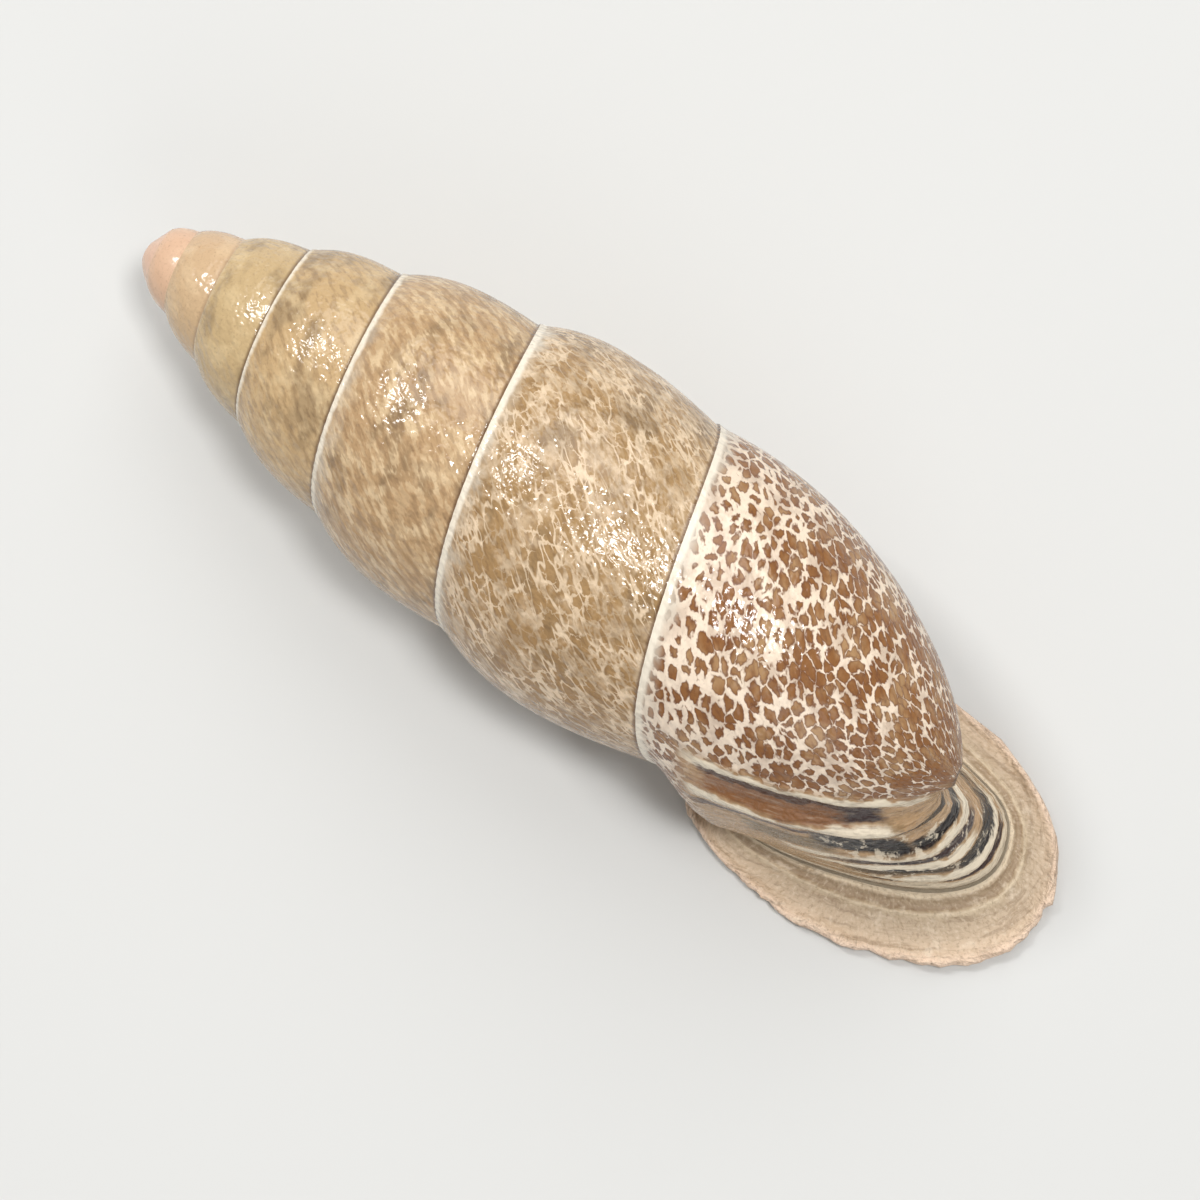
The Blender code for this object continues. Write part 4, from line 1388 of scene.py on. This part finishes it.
# %% [markdown]
# ## Gloss and fine relief
#
# A fresh shell is glossy, and its fine wrinkles break each reflection into glints. Wrinkles of a
# few hundredths of a millimetre are too small for the mesh, so a Bump node raises them. The neck
# is duller, and the rim is rough and grainy.

# %% Height of the wrinkles, and roughness
BUMP_DISTANCE = 0.00006


def relief_and_gloss(graph, skin_map, turn, neck, lip):
    """Return the bumped normal and the roughness."""
    grain = skin_map.noise(5.6, 4.6, 59, 1.0, 0.5)
    growth = skin_map.noise(3.4, 1.0, 61, 1.0, slant=-0.5)
    crust = skin_map.noise(3.0, 3.0, 67, 3.0, 0.7)
    on_lip = lip.rise(0.0, 0.1) * lip.fall(1.1, 1.5)
    on_rim = lip.rise(0.72, 0.95) * lip.fall(1.1, 1.4)
    inside = lip.rise(1.2, 1.6)
    wrinkles = (grain * 0.75 + growth * 0.55) * (1 - inside * 0.85)
    height = wrinkles * (0.3 + 0.7 * turn.rise(0.2, 1.6)) + crust * (on_lip * 0.9 + on_rim * 2.6)
    inputs = {"Strength": 1.0, "Distance": BUMP_DISTANCE, "Height": height}
    normal = graph.add("ShaderNodeBump", {}, inputs, "Normal")
    roughness = 0.12 + 0.10 * grain + 0.10 * neck.rise(0, 0.1) + 0.26 * on_lip + 0.12 * on_rim
    return normal, roughness


# %% The shell's material
SHELL_IOR = 1.52


def paint_shell(material):
    material.use_nodes = True
    graph = Graph(material.node_tree)
    turn, share, down, up, neck, lip = (graph.attribute(name) for name in FIELDS[:6])
    skin_map = SkinMap(graph)
    colour = whorl_colour(graph, skin_map, turn, share, down, up)
    colour = neck_colour(graph, skin_map, neck, share, colour)
    colour = lip_colour(graph, skin_map, lip, colour)
    normal, roughness = relief_and_gloss(graph, skin_map, turn, neck, lip)
    surface = material.node_tree.nodes["Principled BSDF"]
    graph.feed(surface, {"Base Color": colour, "Roughness": roughness, "Normal": normal})
    graph.feed(surface, {"IOR": SHELL_IOR})


paint_shell(skin_finish)
shell.data.materials.append(skin_finish)
print("material nodes:", len(skin_finish.node_tree.nodes))

# %% [markdown]
# ## Floor and light
#
# The floor is plain and pale. Soft light comes from above. Two smaller lights stand near the
# camera, because only a small bright source breaks into glints on the wrinkled whorls as in the
# photograph.

# %% The floor
FLOOR_HALF = 0.6


def add_floor():
    floor_mesh = bpy.data.meshes.new("floor")
    ends = ((-1, -1), (1, -1), (1, 1), (-1, 1))
    corners = [(x * FLOOR_HALF, y * FLOOR_HALF, 0) for x, y in ends]
    floor_mesh.from_pydata(corners, [], [(0, 1, 2, 3)])
    material = bpy.data.materials.new("floor")
    material.use_nodes = True
    surface = material.node_tree.nodes["Principled BSDF"]
    inputs = {"Base Color": paint(206, 206, 204), "Roughness": 0.9, "Specular IOR Level": 0.1}
    Graph(material.node_tree).feed(surface, inputs)
    floor_mesh.materials.append(material)
    return add_object("floor", floor_mesh)


floor = add_floor()
print("floor, m:", 2 * FLOOR_HALF)

# %% Lights: name, place in metres, side of the square in metres, power in watts
LIGHTS = (
    ("glint by the lip", (0.045, 0.042, 0.30), 0.055, 0.44),
    ("glint by the apex", (-0.19, 0.035, 0.24), 0.055, 0.36),
    ("soft", (-0.12, 0.28, 0.34), 0.35, 0.85),
    ("fill", (0.30, -0.22, 0.26), 0.30, 0.30),
)


def add_light(name, place, size, power):
    """Add a square light that faces the shell."""
    data = bpy.data.lights.new(name, "AREA")
    data.size = size
    data.energy = power
    light = add_object(name, data)
    light.location = place
    light.rotation_euler = (-Vector(place)).to_track_quat("-Z", "Y").to_euler()


for light in LIGHTS:
    add_light(*light)
print("lights:", len(LIGHTS))

# %% World
world = bpy.data.worlds.new("studio")
world.use_nodes = True
background = world.node_tree.nodes["Background"]
Graph(world.node_tree).feed(background, {"Color": (1.0, 0.99, 0.97, 1.0), "Strength": 0.30})
bpy.context.scene.world = world
bpy.context.scene.view_settings.view_transform = "Standard"

# %% Hand over to the frame
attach(shell, "root")
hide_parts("shell")
